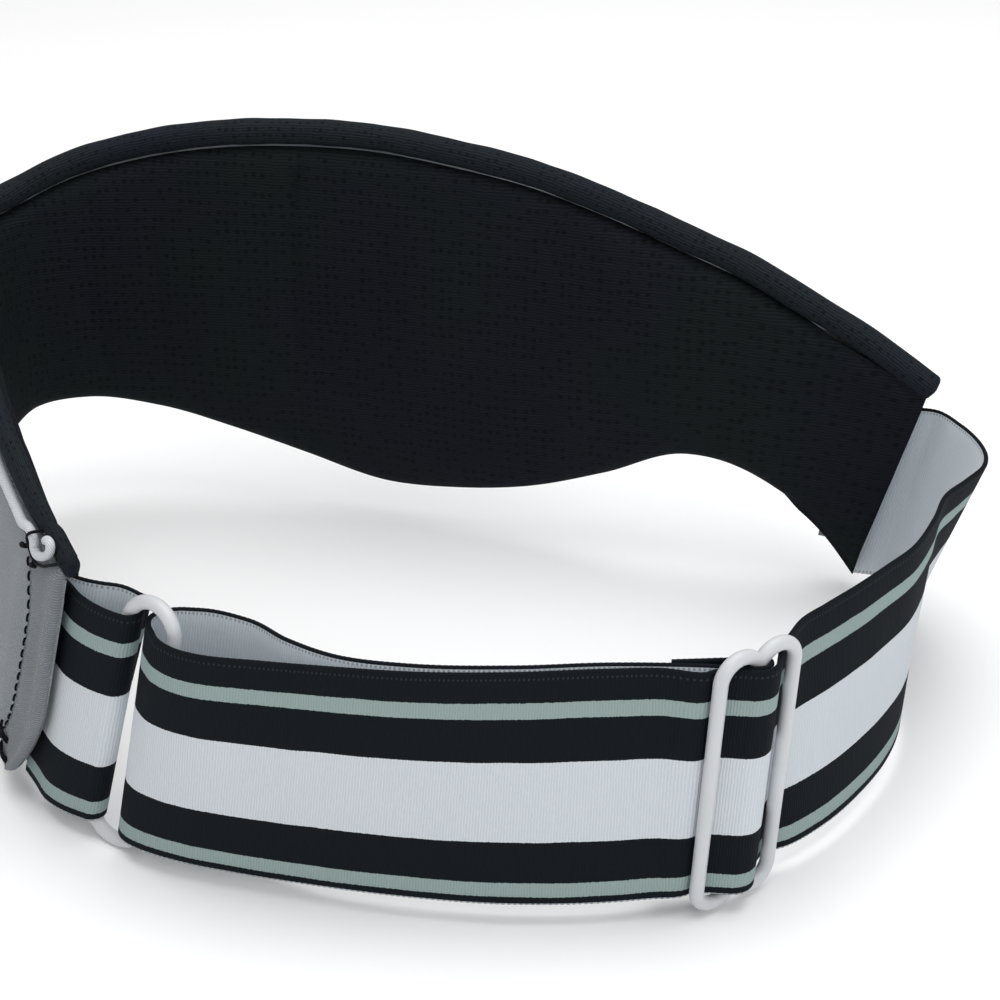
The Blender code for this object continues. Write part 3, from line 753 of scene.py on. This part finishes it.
CREASES = [  # distance along the pad, height of the middle, half length, half width, depth, slant
    (113.2, 68.3, 5.0, 0.9, 1.7, -0.3),
    (128.5, 70.0, 4.0, 2.0, 0.45, -0.1),
    (62.0, 27.0, 6.0, 3.0, 0.6, 0.3),
    (258.0, 40.0, 9.0, 1.6, 0.35, 0.25),
]


def creases(distance, height):
    total = 0.0
    for at, middle, length, width, depth, slant in CREASES:
        across = (distance - at - slant * (height - middle)) / width
        total = total - depth * np.exp(-across**2 - ((height - middle) / length) ** 2)
    return total


SHEET_SHARE = np.linspace(0.0, 1.0, SHEET_ROWS + 1)


def looseness(distance):
    """How free a sheet is to wave: 0 at its edges and where elastic is sewn in, 1 in the middle."""
    return (1.0 - near_ends(distance)) * np.sin(math.pi * SHEET_SHARE)[:, None] ** 0.5


def make_lining(at, swelling):
    distance = np.linspace(0.0, PAD_LENGTH - LINING_LEFT_SHORTER, SHEET_COLUMNS + 1)
    height, low, top = sheet_heights(distance, SHEET_ROWS)
    half = half_thickness(distance, height, low, top) * inner_share(distance)
    uneven = undulation(distance, height, 0.0) + creases(distance, height)
    half = half + spread(swelling, at, distance, SHEET_SHARE) + looseness(distance) * uneven
    back = np.maximum(half - SHEET_THICK, SHEET_INNERMOST)
    placed = distance - LINING_FLARE * ease(height, 8.0, 44.0) * ease(distance, FLARE_RUN, 0.0)
    lining = closed_sheet(placed, height, half, back, -1)
    piece("lining_sheet", [lining], [LINING_LOOK], "root", "lining_mesh", ["mesh_lining"])


def make_cover(at, swelling):
    distance = np.linspace(0.0, COVER_END, SHEET_COLUMNS + 1)
    lifted = cover_lift(distance)
    height, low, top = sheet_heights(distance, SHEET_ROWS)
    height = low + (height - low) * (top + lifted - COVER_TOP_INSET - low) / (top - low)
    half = half_thickness(distance, height, low, top)
    over = ease(lifted, 0.2, 1.2) * ease(height - (top - TOP_ROUND), 0.0, 1.0)
    half = half * (1 - over) + COVER_OVER_RIM * over
    half = half + spread(swelling, at, distance, SHEET_SHARE)
    half = half + looseness(distance) * undulation(distance, height, 2.0)
    half = np.maximum(half, COVER_END_OFFSET * near_ends(distance))
    recess = corner_recess(height) * ease(distance, COVER_END - RECESS_RUN, COVER_END)
    placed = np.broadcast_to(distance, height.shape) - recess
    back = np.maximum(half - COVER_THICK, SHEET_INNERMOST)
    cover = closed_sheet(placed, height, half, back, 1)
    piece("cover_sheet", [cover], [COVER_LOOK], "root", "cover_knit", ["outer_cover"])


def cover_lift(distance):
    """How far the cover climbs over the rim's outer face as it nears the left end."""
    return COVER_CLIMB * ease(distance, COVER_END - 26.0, COVER_END - 11.0)


def corner_recess(height):
    """The cover's lower left corner is cut round, so it stops short of the lining there."""
    return RECESS_DEPTH * (1.0 - np.clip(height / RECESS_HEIGHT, 0.0, 1.0)) ** 2


# How the rim ends: how far it stands past the pad's right end, the stretch over which it narrows towards its
# left end, and where it is gathered there (distance from the left end, depth, half width).
RIM_REACH = 3.5
RIM_END_RUN = 75.0
RIM_GATHERS = [(4.6, 0.20, 0.8), (9.2, 0.13, 0.8)]


def make_rim():
    """The lining turned over a cord along the pad's upper edge, gathered where it ends."""
    distance = np.linspace(0.2, PAD_LENGTH - 0.2, 620)
    _, high = pad_edges(distance)
    to_left = PAD_LENGTH - distance
    narrow = ease(distance, PAD_LENGTH - RIM_END_RUN, PAD_LENGTH - RIM_END_RUN / 3)
    plain = RIM_RADIUS + (RIM_END_RADIUS - RIM_RADIUS) * ease(to_left, 22.0, 9.0)
    radius = plain * (1 + 0.018 * np.sin(distance / 2.7) + 0.012 * np.sin(distance / 1.3 + 1.0))
    for at, depth, width in RIM_GATHERS:
        radius *= 1 - depth * np.exp(-(((to_left - at) / width) ** 2))
    path = pad_surface(distance, high - plain, RIM_END_SHIFT * narrow)
    flat = 1.0 + (RIM_END_FLAT - 1.0) * narrow
    step = path[0] - path[4]
    step *= MM / np.linalg.norm(step)
    reach = np.linspace(RIM_REACH, 0.0, 12)[:-1, None]
    whole = np.concatenate([path[0] + step * reach, path])
    facing = pad_outward(distance)
    outwards = np.concatenate([np.repeat(facing[:1], len(reach), axis=0), facing])
    radius = np.concatenate([np.full(len(reach), radius[0]), radius])
    flat = np.concatenate([np.ones(len(reach)), flat])
    part = tube_part(whole, radius, outwards, sides=28, end_round=0.45, flat=flat)
    piece("rolled_rim", [part], [RIM_LOOK], "root", "rim_mesh", ["top_rim"])
    inside = slice(8, -8)
    filler = tube_part(path[inside], RIM_CORD_RADIUS, facing[inside], sides=12)
    piece("rim_cord", [filler], [FILLER_LOOK], "root", "filler_cord", ["rim_filler_cord"])


# The border cord: its turned end, as (distance from the cover's end, height).
HOOK = [
    (10.6, 44.8), (9.4, 44.3), (8.6, 43.5), (8.2, 42.5), (7.2, 41.9), (5.7, 42.2), (4.1, 43.1), (3.1, 44.2),
    (3.3, 45.3), (4.4, 45.6), (5.4, 44.9),
]
HOOK_OFFSET = 4.4
BORDER_DROP = 5.9


def border_height(distance):
    _, high = pad_edges(distance)
    return high - BORDER_DROP + cover_lift(distance)


def make_border_cord():
    plain = np.linspace(9.6, COVER_END - 13.0, 180)
    rise = np.interp(plain, [COVER_END - 30, COVER_END - 13], [3.55, HOOK_OFFSET])
    rows = list(zip(plain, border_height(plain), rise))
    rows += [(COVER_END - a, b, HOOK_OFFSET) for a, b in HOOK]
    rows, _, _ = smooth_run(rows, 0.25)
    radius = PIPING_RADIUS * (1 + 0.03 * np.sin(rows[:, 0] / 1.7))
    radius *= 1 - 0.12 * ease(rows[:, 0], COVER_END - 14, COVER_END - 9)
    path = pad_surface(rows[:, 0], rows[:, 1], rows[:, 2])
    part = tube_part(path, radius, pad_outward(rows[:, 0]), sides=18)
    piece("border_cord", [part], [PIPING_LOOK], "root", "piping", ["cover_piping"])


# Hem width by height at the left end: the topstitch line's distance from the cover's end.
LEFT_HEM = [
    (4.0, 13.6), (5.1, 13.2), (11.0, 10.2), (18.5, 8.9), (25.8, 8.4), (30.4, 8.3), (36.0, 9.4), (40.5, 10.9),
]
HEM_WIDTH = 9.0
RIDGE_SHARE = 0.88
HEM_ROUND = 1.4
HEM_ROWS = 120


def hem_part(distance_at, low, top, slant=0.0):
    """A folded border: distance_at(share across, height) places it, from its sewn side to its turned edge.
    slant is how much higher its upper end stands at the turned edge."""
    outline = [
        (0.00, 3.00), (0.02, 3.50), (0.06, 3.72), (0.09, 3.55), (0.13, 3.78), (0.25, 3.95), (0.45, 4.00),
        (0.65, 4.05), (0.80, 4.25), (0.90, 4.50), (0.96, 4.20), (1.00, 3.40), (0.99, 2.70), (0.94, 2.25),
        (0.80, 2.10), (0.40, 2.10), (0.10, 2.20),
    ]
    section = np.array(outline + outline[:1])
    fine, _, _ = smooth_run(section * [HEM_WIDTH, 1.0], 0.22)
    fine = fine[:-1] / [HEM_WIDTH, 1.0]
    height = np.linspace(low, top, HEM_ROWS + 1)
    share = fine[:, :1]
    round_off = 1.0
    for edge in (height - low, top - height):
        near = np.clip(edge / HEM_ROUND, 0, 1)
        round_off = round_off * np.sqrt(np.clip(1 - (1 - near) ** 2, 0.05, 1))
    pucker = 0.10 * np.sin(height * 2 * math.pi / STITCH_PITCH) * np.exp(-(((share - 0.12) / 0.12) ** 2))
    offset = 3.0 + (fine[:, 1:] - 3.0) * round_off + pucker * (fine[:, 1:] > 3.2)
    distance = distance_at(share, height)
    points = pad_surface(distance, height + slant * (share - 0.5) * ease(height, top - 10.0, top), offset)
    across = (share - RIDGE_SHARE) * HEM_WIDTH + 0 * height
    uv = side_by_side(across, height)
    return points, np.concatenate([uv, uv[:1]]), True, True


def make_hems():
    low, high = pad_edges(COVER_END)

    def left(share, height):
        stitch_line = np.interp(height, *zip(*LEFT_HEM)) + 0.9
        outer = corner_recess(height) - 0.1
        return COVER_END - (stitch_line + (outer - stitch_line) * share)

    left_hem = hem_part(left, low + 0.5, high - 3.6, 2.2)
    piece("left_hem", [left_hem], [HEM_LOOK], "root", "cover_knit", ["left_end_hem"])
    low, high = pad_edges(4.0)

    def right(share, height):
        return 8.4 * (1 - share) + 0 * height

    right_hem = hem_part(right, low + 0.5, high - 8.0)
    piece("right_hem", [right_hem], [HEM_LOOK], "root", "cover_knit", ["right_end_hem"])


# Threads.

def stitches(name, course, outwards, replaces, body="root"):
    """Separate stitches along a course of points in metres: each rises from the cloth and dips back."""
    course = np.asarray(course)
    run = np.concatenate([[0.0], np.cumsum(np.linalg.norm(np.diff(course, axis=0), axis=1))]) / MM
    parts = []
    for i in range(int(run[-1] / STITCH_PITCH)):
        share = np.linspace(0.0, 1.0, 9)
        at = (i + 0.14 + 0.72 * share) * STITCH_PITCH
        rise = 0.26 * np.sin(math.pi * share) ** 0.6 - 0.12
        sway = 0.05 * math.sin(2.4 * i)
        lift = read_rows(at, run, outwards)
        path = read_rows(at, run, course) + MM * (rise + sway * share)[:, None] * lift
        parts.append(tube_part(path, THREAD_RADIUS, lift, sides=8))
    return piece(name, parts, [THREAD_LOOK], body, "thread", replaces)


def pad_stitches(name, rows, offset, replaces, inner=False):
    """Stitches on the pad along rows of (distance, height)."""
    fine, _, _ = smooth_run(rows, 0.4)
    course = pad_surface(fine[:, 0], fine[:, 1], offset)
    side = -1.0 if inner else 1.0
    return stitches(name, course, side * pad_outward(fine[:, 0]), replaces)


def wound_thread(rows, radius):
    """Thread through rows of (distance from the cover's end, height, offset)."""
    fine, _, _ = smooth_run([(COVER_END - a, b, c) for a, b, c in rows], 0.15)
    return tube_part(pad_surface(*fine.T), radius, pad_outward(fine[:, 0]), sides=8)


# Thread round the border cord's turned end, as (radius, course): a loop over it, and the knots beside it.
# A course goes through (distance from the cover's end, height, offset).
CORNER_TIES = [
    (0.25, [(7.4, 45.7, 3.6), (8.3, 45.4, 4.8), (9.3, 44.6, 5.15), (9.9, 43.5, 4.9), (9.8, 42.4, 4.6),
            (9.0, 41.4, 4.5), (7.4, 40.8, 4.6), (4.6, 41.2, 4.7), (1.6, 42.6, 4.6), (-0.8, 43.9, 4.0)]),
    (0.44, [(12.9, 40.9, 4.0), (12.3, 41.1, 4.4), (11.6, 41.3, 4.4), (11.0, 41.5, 4.1)]),
    (0.18, [(11.2, 41.4, 4.1), (10.6, 41.9, 4.3), (9.9, 42.8, 4.5), (9.8, 43.6, 4.6)]),
    (0.40, [(9.2, 39.2, 3.9), (8.7, 39.3, 4.3), (8.1, 39.5, 4.3), (7.5, 39.7, 4.0)]),
    (0.17, [(8.9, 39.4, 4.0), (9.0, 40.4, 4.1), (9.0, 41.4, 4.3)]),
]


def make_threads():
    hem_line = [(COVER_END - a, h) for h, a in LEFT_HEM]
    pad_stitches("left_hem_stitches", hem_line, 3.95, ["left_hem_topstitch"])
    low, high = pad_edges(7.5)
    right_line = [(7.5, low + 4.4 + t * (high - low - 15.0)) for t in (0.0, 0.5, 1.0)]
    pad_stitches("right_hem_stitches", right_line, 4.1, ["right_hem_topstitch"])
    for side, at in (("right", ANCHOR_SEAM), ("left", PAD_LENGTH - LINING_LEFT_SHORTER - LEFT_SEAM_INSET)):
        low, high = pad_edges(at)
        line = [(at, low + 2.0 + t * (high - low - 9.5)) for t in (0.0, 0.5, 1.0)]
        pad_stitches(f"{side}_anchor_stitches", line, -2.45, [f"{side}_anchor_seam"], inner=True)

    along = np.linspace(COVER_END - 40.0, COVER_END - 11.0, 96)
    beside = border_height(along) - 1.35 + 0.12 * np.sin(along / 1.1)
    edge = pad_surface(along, beside, np.interp(along, [COVER_END - 30, COVER_END - 13], [3.8, 4.0]))
    parts = [tube_part(edge, 0.17, pad_outward(along), sides=8)]
    parts += [wound_thread(rows, radius) for radius, rows in CORNER_TIES]
    piece("corner_ties", parts, [THREAD_LOOK], "root", "thread", ["corner_tie"])
    bars = [
        [(13.4, 8.0, 4.0), (12.4, 7.3, 4.4), (10.6, 6.9, 4.4), (9.4, 6.4, 4.0)],
        [(13.0, 7.0, 4.0), (12.0, 6.6, 4.4), (10.6, 6.2, 4.4), (9.6, 5.7, 4.0)],
        [(12.4, 4.6, 4.0), (11.4, 4.1, 4.4), (9.6, 3.4, 4.4), (8.4, 3.0, 4.0)],
        [(12.0, 3.8, 4.0), (11.0, 3.3, 4.4), (9.6, 2.8, 4.4), (8.6, 2.4, 4.0)],
    ]
    parts = [wound_thread(rows, 0.26) for rows in bars]
    piece("bartack_threads", parts, [THREAD_LOOK], "root", "thread", ["hem_bartacks"])

    height = np.linspace(2.5, STRAP_WIDTH - 2.5, 60)
    x, y = bar_at(SLIDER_CENTRE, height)
    a, b = WRAP_SEAM
    along_x, along_y = SLIDER_ALONG
    course = place(x + a * along_x + b * along_y, y + a * along_y - b * along_x, height)
    inward = np.broadcast_to([-along_y, along_x, 0.0], course.shape)
    stitches("strap_end_threads", course, inward, ["strap_end_stitches"], "slider")


# The elastic.

STRAP_STEP = 0.25
SLIDER_LEAD = 10
ANCHOR_TRIM = 2.2
SECTION_FLATS = 12
SCALLOP_PITCH, SCALLOP_DEPTH = 0.86, 0.16


def strap_section():
    """The elastic's outline, round at both edges: (distance up from its lower edge, distance outward).
    The reverse starts at the row that is also returned."""
    half = STRAP_THICK / 2
    flat = np.linspace(half, STRAP_WIDTH - half, SECTION_FLATS + 1)
    turn = np.linspace(0.0, math.pi, 6)[1:-1]
    face = [(s, half) for s in flat]
    top = [(STRAP_WIDTH - half + half * math.sin(a), half * math.cos(a)) for a in turn]
    back = [(s, -half) for s in flat[::-1]]
    bottom = [(half - half * math.sin(a), -half * math.cos(a)) for a in turn]
    return np.array(face + top + back + bottom), len(face) + len(top)


SECTION, REVERSE_ROW = strap_section()


def strap_part(columns, run, cut):
    """The elastic along plan columns (lower x, y, upper x, y), run being the distance at each, and cut the
    height below which it is cut away."""
    low = np.concatenate([columns[:, :2], np.zeros((len(columns), 1))], axis=1)
    high = np.concatenate([columns[:, 2:], np.full((len(columns), 1), STRAP_WIDTH)], axis=1)
    across = high - low
    normals = []
    for edge in (low, high):
        along = np.gradient(edge, axis=0)
        normal = np.cross(along, across)
        normals.append(normal / np.linalg.norm(normal, axis=1)[:, None])
    up, out = SECTION[:, 0], SECTION[:, 1]
    beat = 0.5 - 0.5 * np.cos(run * 2 * math.pi / SCALLOP_PITCH)
    near_low = np.clip(1 - up / 0.8, 0.0, 1.0)[:, None]
    near_top = np.clip(1 - (STRAP_WIDTH - up) / 0.8, 0.0, 1.0)[:, None]
    lift = cut + up[:, None] * (1 - cut / STRAP_WIDTH)
    lift = lift + SCALLOP_DEPTH * beat * near_low - 0.05 * beat * near_top
    share = (lift / STRAP_WIDTH)[..., None]
    normal = normals[0] * (1 - share) + normals[1] * share
    normal /= np.linalg.norm(normal, axis=-1)[..., None]
    spot = low + across * share + out[:, None, None] * normal
    points = place(spot[..., 0], spot[..., 1], spot[..., 2])
    uv = side_by_side(run, up[:, None])
    return points, np.concatenate([uv, uv[:1]]), True, True


def strap(name, columns, run, first, last, replaces, body=None, blend=None, cut=0.0):
    """A stretch of elastic as one piece. It rides on body, or with blend it is left unattached where it is
    built;
    blend is (body, body, steps in from its start, steps in from its end)."""
    looks = [FACE_LOOK, REVERSE_LOOK]
    first, last = int(round(first)), int(round(last))
    points, uv, wrap, caps = strap_part(columns, run, cut)
    part = (points[:, first:last + 1], uv[:, first:last + 1], wrap, caps)
    if blend:
        a, b, start, end = blend
        middle = columns[[first + start, last - end]]
        ends = place((middle[:, 0] + middle[:, 2]) / 2, (middle[:, 1] + middle[:, 3]) / 2, STRAP_WIDTH / 2)
        blend = (a, b, tuple(ends[0]), tuple(ends[1]))
    return piece(name, [part], looks, body, "striped_elastic", [replaces], REVERSE_ROW, blend)


def make_short_loop():
    fold = about_bar(RING_LEFT, RING_ALONG, fold_steps())
    sewn = COVER_END - ANCHOR_DEPTH
    front = [pad_row(distance, SHORT_FRONT_OFFSET) for distance in (sewn, sewn + 5.0, PAD_LENGTH)]
    back = [pad_row(distance, SHORT_BACK_OFFSET) for distance in (sewn + BACK_SEWN_LENGTH, sewn)]
    columns, _, run = smooth_run(front + fold + SHORT_BACK + back, STRAP_STEP)
    strap("short_loop", columns, run, 0, len(columns) - 1, "short_strap_loop", "root")


def make_long_strap():
    """One elastic: its sewn end round the slider's bar, back to the ring, through it, and out to the pad."""
    sections = [
        about_bar(SLIDER_CENTRE, SLIDER_ALONG, WRAP[::-1]),
        BACK_RUN[::-1],
        RING_FOLD,
        FRONT_RUN,
        about_bar(SLIDER_CENTRE, SLIDER_ALONG, WAVE),
        TAIL_RUN,
        [pad_row(distance, 0.0) for distance in (0.0, ANCHOR_DEPTH / 2, ANCHOR_DEPTH)],
    ]
    columns, marks, run = smooth_run([row for section in sections for row in section], STRAP_STEP)
    first_row = np.cumsum([0] + [len(section) for section in sections])
    fold_start, fold_end, tail_start = [(marks[i - 1] + marks[i]) / 2 for i in first_row[[2, 3, 5]]]
    wrap_end = marks[first_row[1] - 1] + SLIDER_LEAD
    wave_start = marks[first_row[4]] - SLIDER_LEAD
    back_split = marks[first_row[1] + len(BACK_RUN) - 4]
    front_split = marks[first_row[3] + 3]
    last = len(columns) - 1
    inside = run - run[int(marks[first_row[6]])]
    cut = np.where(inside > 0, pad_edges(inside)[0] + ANCHOR_TRIM, 0.0)

    def stretch(name, first, last, replaces, **settings):
        strap(name, columns, run, first, last, replaces, **settings)

    def moving(name, first, last, replaces, bodies, ends, **settings):
        stretch(name, first, last, replaces, blend=(*bodies, *ends), **settings)

    stretch("end_wrap", 0, wrap_end, "strap_end_wrap", body="slider")
    moving("back_run_slider_side", wrap_end, back_split, "strap_back_run", ("slider", "root"), (16, 20))
    moving("back_run_ring_side", back_split, fold_start, "strap_back_run", ("root", "ring"), (8, 8))
    stretch("ring_fold", fold_start, fold_end, "strap_ring_fold", body="ring")
    moving("front_run_ring_side", fold_end, front_split, "strap_front_run", ("ring", "root"), (8, 8))
    moving("front_run_slider_side", front_split, wave_start, "strap_front_run", ("root", "slider"), (20, 16))
    stretch("slider_wave", wave_start, tail_start, "strap_slider_wave", body="slider")
    moving("tail_run", tail_start, last, "strap_tail_run", ("slider", "root"), (16, 170), cut=cut)


# The wire hardware.

def wire_course(left, right, outline):
    """A wire's course between two leaning bars, from an outline of (distance across, height)."""
    width = math.dist(left[0], right[0])
    outline = np.array(outline)
    share = outline[:, 0] / width
    height = outline[:, 1]
    ax, ay = bar_at(left, height)
    bx, by = bar_at(right, height)
    return place(ax + (bx - ax) * share, ay + (by - ay) * share, height)


def arc(centre, radii, first, last, count):
    angles = np.linspace(first, last, count)
    return [(centre[0] + radii[0] * math.cos(a), centre[1] + radii[1] * math.sin(a)) for a in angles]


RING_RISE = 4.6


def make_ring():
    width = math.dist(RING_LEFT[0], RING_RIGHT[0])
    high, low = RING_TOP - RING_RISE, RING_BOTTOM + RING_RISE
    leg = np.linspace(high, low, 20)[1:-1]
    outline = arc((width / 2, high), (width / 2, RING_RISE), 0.0, math.pi, 30)
    outline += [(0.0, h) for h in leg]
    outline += arc((width / 2, low), (width / 2, RING_RISE), math.pi, 2 * math.pi, 30)
    outline += [(width, h) for h in leg[::-1]]
    course = wire_course(RING_LEFT, RING_RIGHT, outline)
    part = tube_part(course, WIRE_RADIUS, (0.5, 0.8, 0.0), sides=24, closed=True)
    piece("ring_wire", [part], [WIRE_LOOK], "ring", "coated_wire", ["wire_ring"])


SLIDER_HUMP = 3.2
SLIDER_DIP = (2.1, 1.6)


def slider_outline(width):
    """A figure of eight laid open: two round humps above and below, dipping to the centre bar."""
    half = width / 2
    angles = math.pi * np.linspace(0.0, 1.0, 41)
    across = half / 2 - half / 2 * np.cos(angles)
    arch = SLIDER_HUMP * np.sin(angles)
    valley = [dip + 0.4 * np.abs(across - half) for dip in SLIDER_DIP]
    inner = across > 0.6 * half
    top = SLIDER_TOP - SLIDER_HUMP + arch
    top = np.where(inner, np.maximum(top, SLIDER_TOP - valley[0]), top)
    low = SLIDER_BOTTOM + SLIDER_HUMP - arch
    low = np.where(inner, np.minimum(low, SLIDER_BOTTOM + valley[1]), low)
    upper = list(zip(across, top))
    lower = list(zip(across, low))
    upper += [(width - a, h) for a, h in upper[-2::-1]]
    lower += [(width - a, h) for a, h in lower[-2::-1]]
    climb = np.linspace(SLIDER_BOTTOM + SLIDER_HUMP, SLIDER_TOP - SLIDER_HUMP, 22)[1:-1]
    right = [(width, h) for h in climb[::-1]]
    left = [(0.0, h) for h in climb]
    return upper + right + lower[::-1] + left


def make_slider():
    bars = []
    for side in (-1, 1):
        step = (side * SLIDER_HALF * SLIDER_ALONG[0], side * SLIDER_HALF * SLIDER_ALONG[1])
        bars.append(tuple((x + step[0], y + step[1]) for x, y in SLIDER_CENTRE))
    course = wire_course(bars[0], bars[1], slider_outline(2 * SLIDER_HALF))
    out = (SLIDER_ALONG[1], -SLIDER_ALONG[0], 0.0)
    part = tube_part(course, WIRE_RADIUS, out, sides=24, closed=True)
    piece("slider_wire", [part], [WIRE_LOOK], "slider", "coated_wire", ["slider_frame"])
    heights = np.linspace(SLIDER_BOTTOM + 1.3, SLIDER_TOP - 1.7, 60)
    course = place(*bar_at(SLIDER_CENTRE, heights), heights)
    part = tube_part(course, WIRE_RADIUS, out, sides=24)
    piece("slider_bar", [part], [WIRE_LOOK], "slider", "coated_wire", ["slider_centre_bar"])


# The studio.

CAMERA_AT = (17.0, -312.0, 177.0)
CAMERA_DOWN, CAMERA_ROLL = math.radians(25.2), math.radians(-0.5)
CAMERA_LENS, CAMERA_SENSOR = 72.0, 36.0
FLOOR_SIZE = 12.0
SKY_STRENGTH = 0.52
LAMP_AIM = (0.0, 0.0, 0.03)
LAMPS = [  # name, place in metres, size, power, colour
    ("top", (0.05, 0.05, 1.1), 1.1, 10.0, (1.0, 1.0, 1.0)),
    ("front", (0.35, -0.85, 0.5), 0.5, 2.2, (0.97, 0.985, 1.0)),
]


def make_camera():
    data = bpy.data.cameras.new("view")
    data.lens = CAMERA_LENS
    data.sensor_width = CAMERA_SENSOR
    camera = bpy.data.objects.new("view", data)
    bpy.context.scene.collection.objects.link(camera)
    forward = np.array([0.0, math.cos(CAMERA_DOWN), -math.sin(CAMERA_DOWN)])
    upright = np.array([0.0, math.sin(CAMERA_DOWN), math.cos(CAMERA_DOWN)])
    level = np.array([1.0, 0.0, 0.0])
    right = math.cos(CAMERA_ROLL) * level + math.sin(CAMERA_ROLL) * upright
    up = -math.sin(CAMERA_ROLL) * level + math.cos(CAMERA_ROLL) * upright
    turned = np.eye(4)
    turned[:3, 0], turned[:3, 1], turned[:3, 2], turned[:3, 3] = right, up, -forward, place(*CAMERA_AT)
    camera.matrix_world = Matrix(turned.tolist())
    bpy.context.scene.camera = camera


def lamp(name, at, size, power, colour):
    """A soft square lamp, aimed at the middle of the object."""
    data = bpy.data.lights.new(name, "AREA")
    data.size = size
    data.energy = power
    data.color = colour
    made = bpy.data.objects.new(name, data)
    bpy.context.scene.collection.objects.link(made)
    made.location = at
    made.rotation_euler = (Vector(LAMP_AIM) - made.location).to_track_quat("-Z", "Y").to_euler()


def make_studio():
    bpy.ops.mesh.primitive_plane_add(size=FLOOR_SIZE, location=(0.0, 0.0, 0.0))
    floor = bpy.context.object
    floor.name = "floor"
    floor.data.materials.append(floor_look())
    world = bpy.data.worlds.new("studio")
    world.use_nodes = True
    sky = world.node_tree.nodes["Background"]
    sky.inputs[0].default_value = (1.0, 1.0, 1.0, 1.0)
    sky.inputs[1].default_value = SKY_STRENGTH
    bpy.context.scene.world = world
    bpy.context.scene.view_settings.view_transform = "Standard"
    for row in LAMPS:
        lamp(*row)


make_camera()
make_studio()
simulated_at, inner_swelling, outer_swelling = swell_foam()
make_lining(simulated_at, inner_swelling)
make_cover(simulated_at, outer_swelling)
make_rim()
make_border_cord()
make_hems()
make_threads()
make_short_loop()
make_ring()
make_slider()
make_long_strap()
